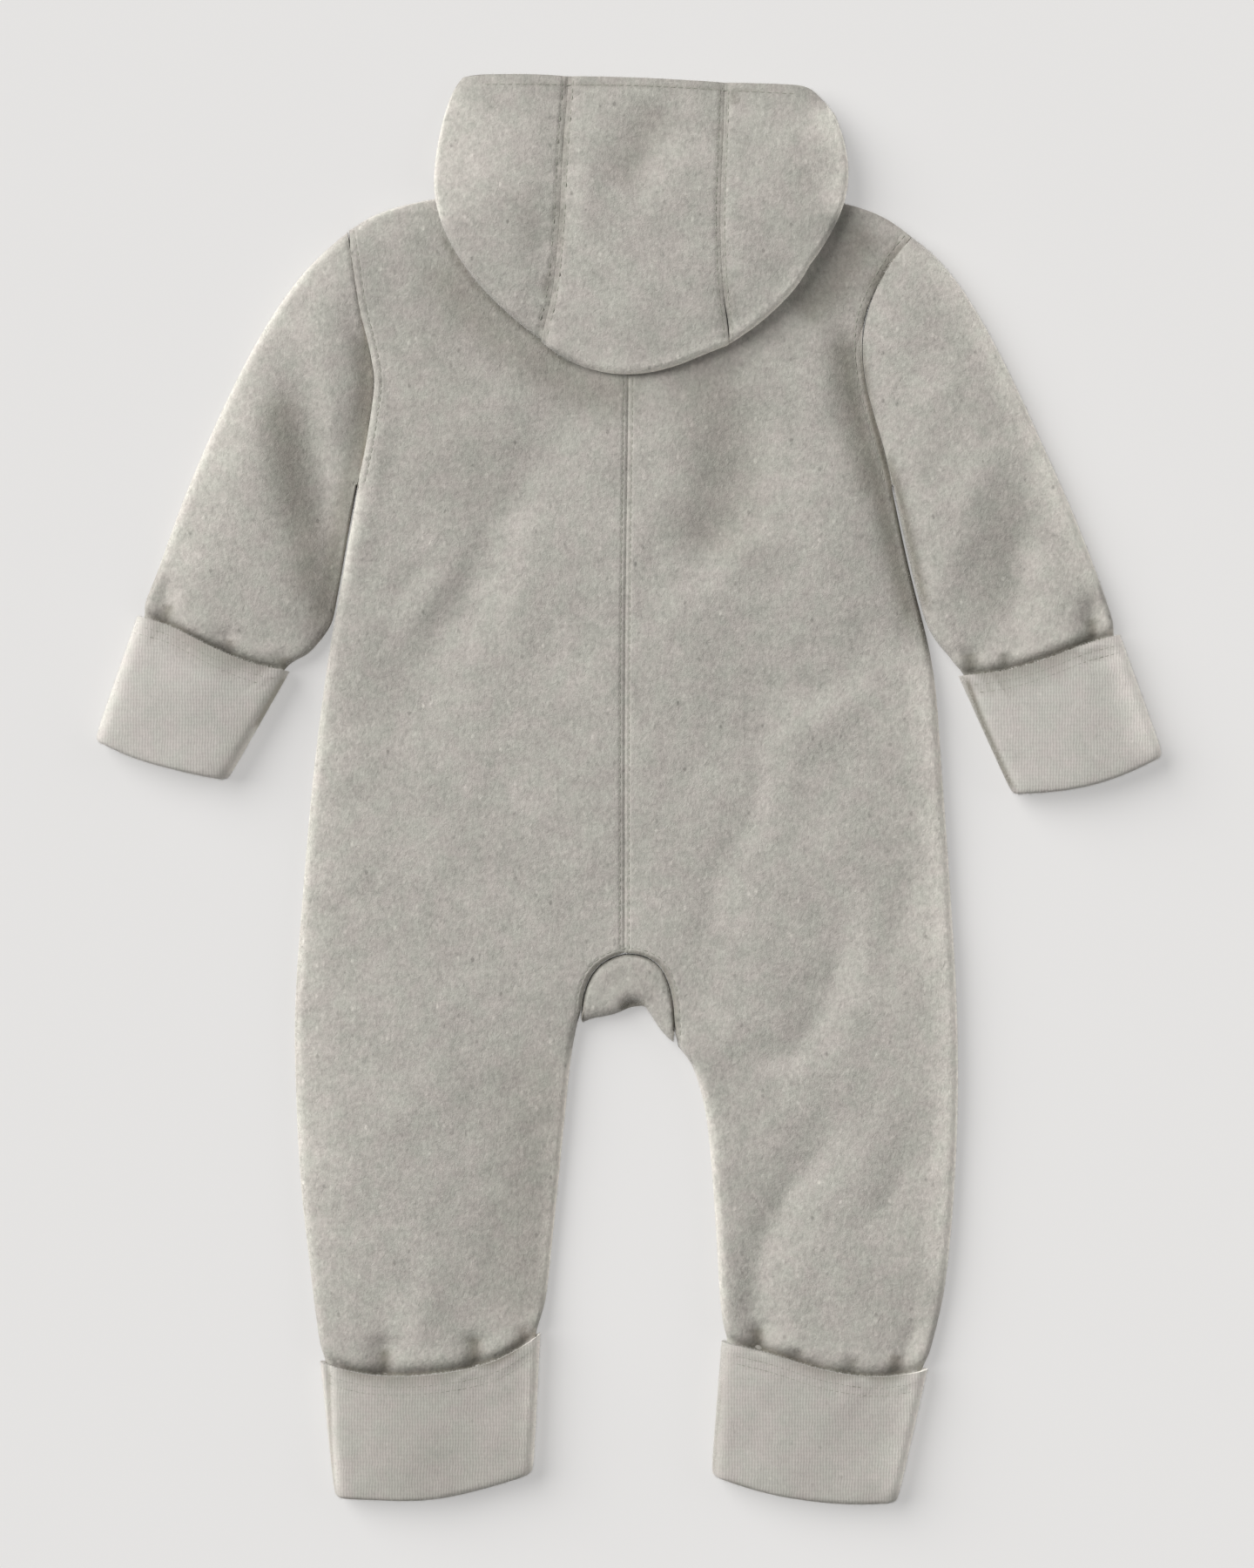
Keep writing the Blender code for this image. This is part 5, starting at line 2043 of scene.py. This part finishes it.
@dataclass
class Sewing:
    """All rows of stitches: short threads that dip into the cloth.

    Fields: cloth, the pieces; share of the pitch that a stitch takes up; trees, for
    finding the faces of each piece.
    """

    cloth: list[bpy.types.Object]
    share: float = 0.8
    trees: dict[str, BVHTree] = field(default_factory=dict, init=False)

    # From where the cloth is looked for, and the greatest step within a stitch
    RAY_FROM = 40.0
    STEP = 1.5

    def rows(self) -> tuple[StitchRow, ...]:
        """Lists the rows of the garment.

        Returns:
            The rows on the back, the hood and the cuffs.
        """
        back = ("back_left", "back_right")
        hood = ("hood_left", "hood_centre", "hood_right")
        made = [
            StitchRow("stitches_centre_back_left", CENTRE_BACK, back, -ROW_CENTRE),
            StitchRow("stitches_centre_back_right", CENTRE_BACK, back, ROW_CENTRE),
            StitchRow("stitches_gusset", GUSSET_ARC, back, ROW_GUSSET),
            StitchRow("stitches_armhole_left", ARMHOLE_LEFT, ("back_left",), ROW_ARMHOLE),
            StitchRow("stitches_armhole_right", ARMHOLE_RIGHT, ("back_right",), -ROW_ARMHOLE),
            StitchRow("stitches_hood_left_outer", HOOD_SEAM_LEFT, hood, -ROW_HOOD_LEFT),
            StitchRow("stitches_hood_left_inner", HOOD_SEAM_LEFT, hood, ROW_HOOD_LEFT),
            StitchRow("stitches_hood_right_inner", HOOD_SEAM_RIGHT, hood, -ROW_HOOD_RIGHT),
            StitchRow("stitches_hood_right_outer", HOOD_SEAM_RIGHT, hood, ROW_HOOD_RIGHT),
            StitchRow("stitches_hood_hem", HOOD_HEM, hood),
        ]
        for name, mouth in MOUTHS.items():
            kind, side = name.split("_")
            cuff = (f"{kind}_cuff_{side}",)
            for row, down in HEM_ROWS.items():
                run = moved_up(mouth, -down)
                made.append(
                    StitchRow(f"stitches_{name}_{row}", run, cuff, pitch=2.6, sink=0.08, thread=0.34)
                )
        return tuple(made)

    def build(self) -> None:
        """Lays every row."""
        self.trees = {
            piece.name: BVHTree.FromPolygons(
                [v.co.copy() for v in piece.data.vertices], [p.vertices[:] for p in piece.data.polygons]
            )
            for piece in self.cloth
        }
        template = self._one_stitch()
        for row in self.rows():
            self._lay(row, template)
        bpy.data.objects.remove(template)

    def _one_stitch(self) -> bpy.types.Object:
        """Makes one stitch.

        Returns:
            A thread with round ends along x, one long and one thick.
        """
        bpy.ops.object.select_all(action="DESELECT")
        bpy.ops.mesh.primitive_uv_sphere_add(segments=6, ring_count=5, radius=0.5)
        stitch = bpy.context.active_object
        bpy.ops.object.mode_set(mode="EDIT")
        bpy.ops.mesh.select_all(action="SELECT")
        bpy.ops.transform.rotate(value=math.pi / 2, orient_axis="Y", center_override=(0.0, 0.0, 0.0))
        bpy.ops.object.mode_set(mode="OBJECT")
        return stitch

    def _height(self, place: np.ndarray, nodes: tuple[str, ...]) -> Optional[float]:
        """Finds the height of the cloth at a place.

        Args:
            place: the place on the plan.
            nodes: the solids of the pieces that may be sewn there.

        Returns:
            The height, or None where there is no cloth or other cloth lies on top.
        """
        start = Vector((place[0], place[1], self.RAY_FROM)) * MM
        hits = []
        for name, tree in self.trees.items():
            hit = tree.ray_cast(start, Vector((0.0, 0.0, -1.0)))[0]
            if hit is not None:
                hits.append((hit.z / MM, name))
        if not hits:
            return None
        height, name = max(hits)
        return height if name in [node + "_cloth" for node in nodes] else None

    def _lay(self, row: StitchRow, template: bpy.types.Object) -> None:
        """Lays one row of stitches as a single mesh.

        Args:
            row: the row.
            template: one stitch.
        """
        line = smoothed(row.run, LINE_STEP)
        along = np.gradient(line, axis=0)
        along /= np.linalg.norm(along, axis=1)[:, None]
        line = line + row.aside * np.column_stack([-along[:, 1], along[:, 0]])
        walked = walked_along(line)
        shape = points_of(template.data) * MM
        faces = [tuple(p.vertices) for p in template.data.polygons]
        vertices, polygons = [], []
        for centre in np.arange(row.pitch, walked[-1] - row.pitch / 2, row.pitch):
            half = row.pitch * self.share / 2
            ends = [
                np.array([np.interp(centre + step, walked, line[:, k]) for k in (0, 1)])
                for step in (-half, half)
            ]
            heights = [self._height(end, row.on) for end in ends]
            if None in heights or abs(heights[0] - heights[1]) > self.STEP:
                continue
            tips = [Vector((*end, height - row.sink)) for end, height in zip(ends, heights)]
            run = tips[1] - tips[0]
            turn = run.to_track_quat("X", "Z").to_matrix()
            size = np.diag((run.length, row.thread, row.thread))
            middle = np.array((tips[0] + tips[1]) / 2)
            placed = shape @ size @ np.array(turn).T + middle
            polygons += [tuple(len(vertices) + k for k in face) for face in faces]
            vertices += [tuple(point * MM) for point in placed]
        mesh = bpy.data.meshes.new(row.name)
        mesh.from_pydata(vertices, [], polygons)
        mesh.shade_smooth()
        mesh.materials.append(THREAD.material())
        piece = bpy.data.objects.new(row.name, mesh)
        bpy.context.scene.collection.objects.link(piece)
        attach(piece, "root")
        LOG.info("%s: %d faces", piece.name, len(mesh.polygons))


# Nap


@dataclass
class Nap:
    """The loose ends of the wool that stand out along the turned edges of the cloth.

    Fields: cloth, the pieces; dense, how many stand on a square millimetre; length,
    of the longest; shortest, as a share of the longest; thick, how thick a fibre is
    at its root; around, for finding the faces of all cloth.
    """

    cloth: list[bpy.types.Object]
    dense: float = 2.2
    length: float = 1.5
    shortest: float = 0.25
    thick: float = 0.09
    around: Optional[BVHTree] = field(default=None, init=False)

    # How far down and up a turned edge may face
    LOW = -0.15
    HIGH = 0.8
    # The free way in metres that a fibre needs, and how far out of the cloth it starts
    OPEN = 0.06
    OUTSIDE = 0.2
    # How much the fibres lean, and the height that none goes below
    SPREAD = 0.5
    FLOOR = 0.1
    TINY = 1e-9
    SEED = 17

    def build(self) -> None:
        """Grows the loose ends of every piece."""
        vertices, faces = [], []
        for piece in self.cloth:
            before = len(vertices)
            vertices += [v.co.copy() for v in piece.data.vertices]
            faces += [tuple(before + k for k in p.vertices) for p in piece.data.polygons]
        self.around = BVHTree.FromPolygons(vertices, faces)
        template = self._one_fibre()
        for k, piece in enumerate(self.cloth):
            self._grow(piece, template, self.SEED + k)
        bpy.data.objects.remove(template)

    def _one_fibre(self) -> bpy.types.Object:
        """Makes one fibre.

        Returns:
            A cone along z, one long and one thick, pointed at its end.
        """
        bpy.ops.object.select_all(action="DESELECT")
        bpy.ops.mesh.primitive_cone_add(
            vertices=3, radius1=0.5, radius2=0.0, depth=1.0, end_fill_type="NOTHING"
        )
        fibre = bpy.context.active_object
        bpy.ops.object.mode_set(mode="EDIT")
        bpy.ops.mesh.select_all(action="SELECT")
        bpy.ops.transform.translate(value=(0.0, 0.0, 0.5))
        bpy.ops.object.mode_set(mode="OBJECT")
        return fibre

    def _roots(self, piece: bpy.types.Object, chance: np.random.Generator) -> tuple[np.ndarray, np.ndarray]:
        """Chooses places on the turned edges of a piece.

        Args:
            piece: the cloth.
            chance: a seeded source of chance.

        Returns:
            The places in millimetres, and the way out of the cloth at each.
        """
        mesh = piece.data
        mesh.calc_loop_triangles()
        corners = np.zeros(len(mesh.loop_triangles) * 3, dtype=np.int32)
        mesh.loop_triangles.foreach_get("vertices", corners)
        points = points_of(mesh)[corners.reshape(-1, 3)]
        cross = np.cross(points[:, 1] - points[:, 0], points[:, 2] - points[:, 0])
        size = np.maximum(np.linalg.norm(cross, axis=1), self.TINY)
        way = cross / size[:, None]
        area = np.where((way[:, 2] > self.LOW) & (way[:, 2] < self.HIGH), size / 2, 0.0)
        count = int(area.sum() * self.dense)
        chosen = chance.choice(len(area), size=count, p=area / area.sum())
        first, second = chance.uniform(size=(2, count, 1))
        over = first + second > 1.0
        first, second = np.where(over, 1.0 - first, first), np.where(over, 1.0 - second, second)
        corner = points[chosen, 0]
        places = corner + first * (points[chosen, 1] - corner) + second * (points[chosen, 2] - corner)
        way = way[chosen]
        starts = places + self.OUTSIDE * way
        free = [
            self.around.ray_cast(Vector(start) * MM, Vector(out), self.OPEN)[0] is None
            for start, out in zip(starts, way)
        ]
        return places[free], way[free]

    def _grow(self, piece: bpy.types.Object, template: bpy.types.Object, seed: int) -> None:
        """Grows the loose ends of one piece as a single mesh.

        Args:
            piece: the cloth.
            template: one fibre.
            seed: the seed for this piece.
        """
        chance = np.random.default_rng(seed)
        places, out = self._roots(piece, chance)
        way = out + self.SPREAD * chance.normal(size=out.shape)
        way /= np.linalg.norm(way, axis=1)[:, None]
        aside = np.cross(way, chance.normal(size=way.shape))
        aside /= np.linalg.norm(aside, axis=1)[:, None]
        other = np.cross(way, aside)
        length = self.length * chance.uniform(self.shortest, 1.0, (len(places), 1))
        shape = points_of(template.data) * MM
        points = (
            places[:, None]
            + shape[None, :, 0:1] * self.thick * aside[:, None]
            + shape[None, :, 1:2] * self.thick * other[:, None]
            + shape[None, :, 2:3] * (length * way)[:, None]
        )
        points[..., 2] = np.maximum(points[..., 2], self.FLOOR)
        faces = np.array([tuple(p.vertices) for p in template.data.polygons])
        faces = faces[None] + len(shape) * np.arange(len(places))[:, None, None]
        mesh = bpy.data.meshes.new("nap_" + piece.name)
        mesh.from_pydata((points.reshape(-1, 3) * MM).tolist(), [], faces.reshape(-1, 3).tolist())
        mesh.shade_smooth()
        mesh.materials.append(FIBRE.material())
        made = bpy.data.objects.new("nap_" + piece.name, mesh)
        bpy.context.scene.collection.objects.link(made)
        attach(made, "root")
        LOG.info("%s: %d fibres", made.name, len(places))


# Studio


@dataclass
class Studio:
    """The floor, the lights and the camera.

    Fields: frame_height, what the picture holds from top to bottom; lens and sensor
    of the camera, in millimetres; centre and aim_height, what it looks at; the
    floor's size, how far it lies below the cloth, its colour and its own light; and
    for each light its strength, its width in degrees and the way it travels.
    """

    frame_height: float = 0.72
    lens: float = 95.0
    sensor: float = 36.0
    centre: tuple[float, float] = (-0.0006, 0.0026)
    aim_height: float = 0.008
    floor_size: float = 12.0
    floor_drop: float = 0.0002
    floor_colour: tuple[float, float, float] = (0.36, 0.354, 0.348)
    floor_glow_colour: tuple[float, float, float] = (1.0, 0.99, 0.98)
    floor_glow: float = 0.385
    sun_strength: float = 4.4
    sun_angle: float = 56.0
    sun_run: tuple[float, float, float] = (0.88, -0.52, -0.72)
    sky_strength: float = 0.21
    reflector_strength: float = 0.9
    reflector_angle: float = 60.0
    reflector_run: tuple[float, float, float] = (-1.0, -0.25, -0.28)

    def build(self) -> None:
        """Sets up the floor, the lights and the camera."""
        self._floor()
        self._lights()
        self._camera()

    def _floor(self) -> None:
        """Lays a plain pale floor just below the cloth."""
        bpy.ops.object.select_all(action="DESELECT")
        bpy.ops.mesh.primitive_plane_add(size=self.floor_size, location=(0.0, 0.0, -self.floor_drop))
        floor = bpy.context.active_object
        floor.name = "floor"
        material, _, surface = new_material("paper_floor")
        set_inputs(surface, {
            "Base Color": (*self.floor_colour, 1.0),
            "Roughness": 1.0,
            "Specular IOR Level": 0.0,
            "Emission Color": (*self.floor_glow_colour, 1.0),
            "Emission Strength": self.floor_glow,
        })
        floor.data.materials.append(material)

    def _lights(self) -> None:
        """Sets a broad soft key light at the upper left, a low reflector and an even sky."""
        self._sun("window", self.sun_strength, self.sun_angle, self.sun_run)
        self._sun("reflector", self.reflector_strength, self.reflector_angle, self.reflector_run)
        world = bpy.data.worlds.new("studio")
        world.use_nodes = True
        sky = {"Color": (1.0, 1.0, 1.0, 1.0), "Strength": self.sky_strength}
        set_inputs(world.node_tree.nodes["Background"], sky)
        bpy.context.scene.world = world

    def _sun(self, name: str, strength: float, angle: float, run: tuple[float, float, float]) -> None:
        """Sets a broad light far away.

        Args:
            name: the light's name.
            strength: its strength.
            angle: how wide it is, in degrees.
            run: the way its light travels.
        """
        data = bpy.data.lights.new(name, "SUN")
        data.energy = strength
        data.angle = math.radians(angle)
        light = bpy.data.objects.new(name, data)
        bpy.context.scene.collection.objects.link(light)
        light.rotation_euler = Vector(run).to_track_quat("-Z", "Y").to_euler()

    def _camera(self) -> None:
        """Sets a long lens straight above the garment."""
        data = bpy.data.cameras.new("camera")
        data.lens = self.lens
        data.sensor_width = self.sensor
        camera = bpy.data.objects.new("camera", data)
        bpy.context.scene.collection.objects.link(camera)
        away = self.lens / self.sensor * self.frame_height
        camera.location = (*self.centre, self.aim_height + away)
        bpy.context.scene.camera = camera
        bpy.context.scene.view_settings.view_transform = "Standard"


def main() -> None:
    """Builds the garment piece by piece, then the studio around it."""
    logging.basicConfig(level=logging.INFO, format="%(message)s")
    back = Back().build()
    Front().build()
    gusset = Gusset().build()
    sleeves = Sleeves().build()
    cuffs = Cuffs().build()
    hood = Hood().build()
    cloth = [*back, gusset, *sleeves, *cuffs, *hood]
    Sewing(cloth).build()
    Nap(cloth).build()
    Buttons().build()
    Studio().build()


if __name__ == "__main__":
    main()
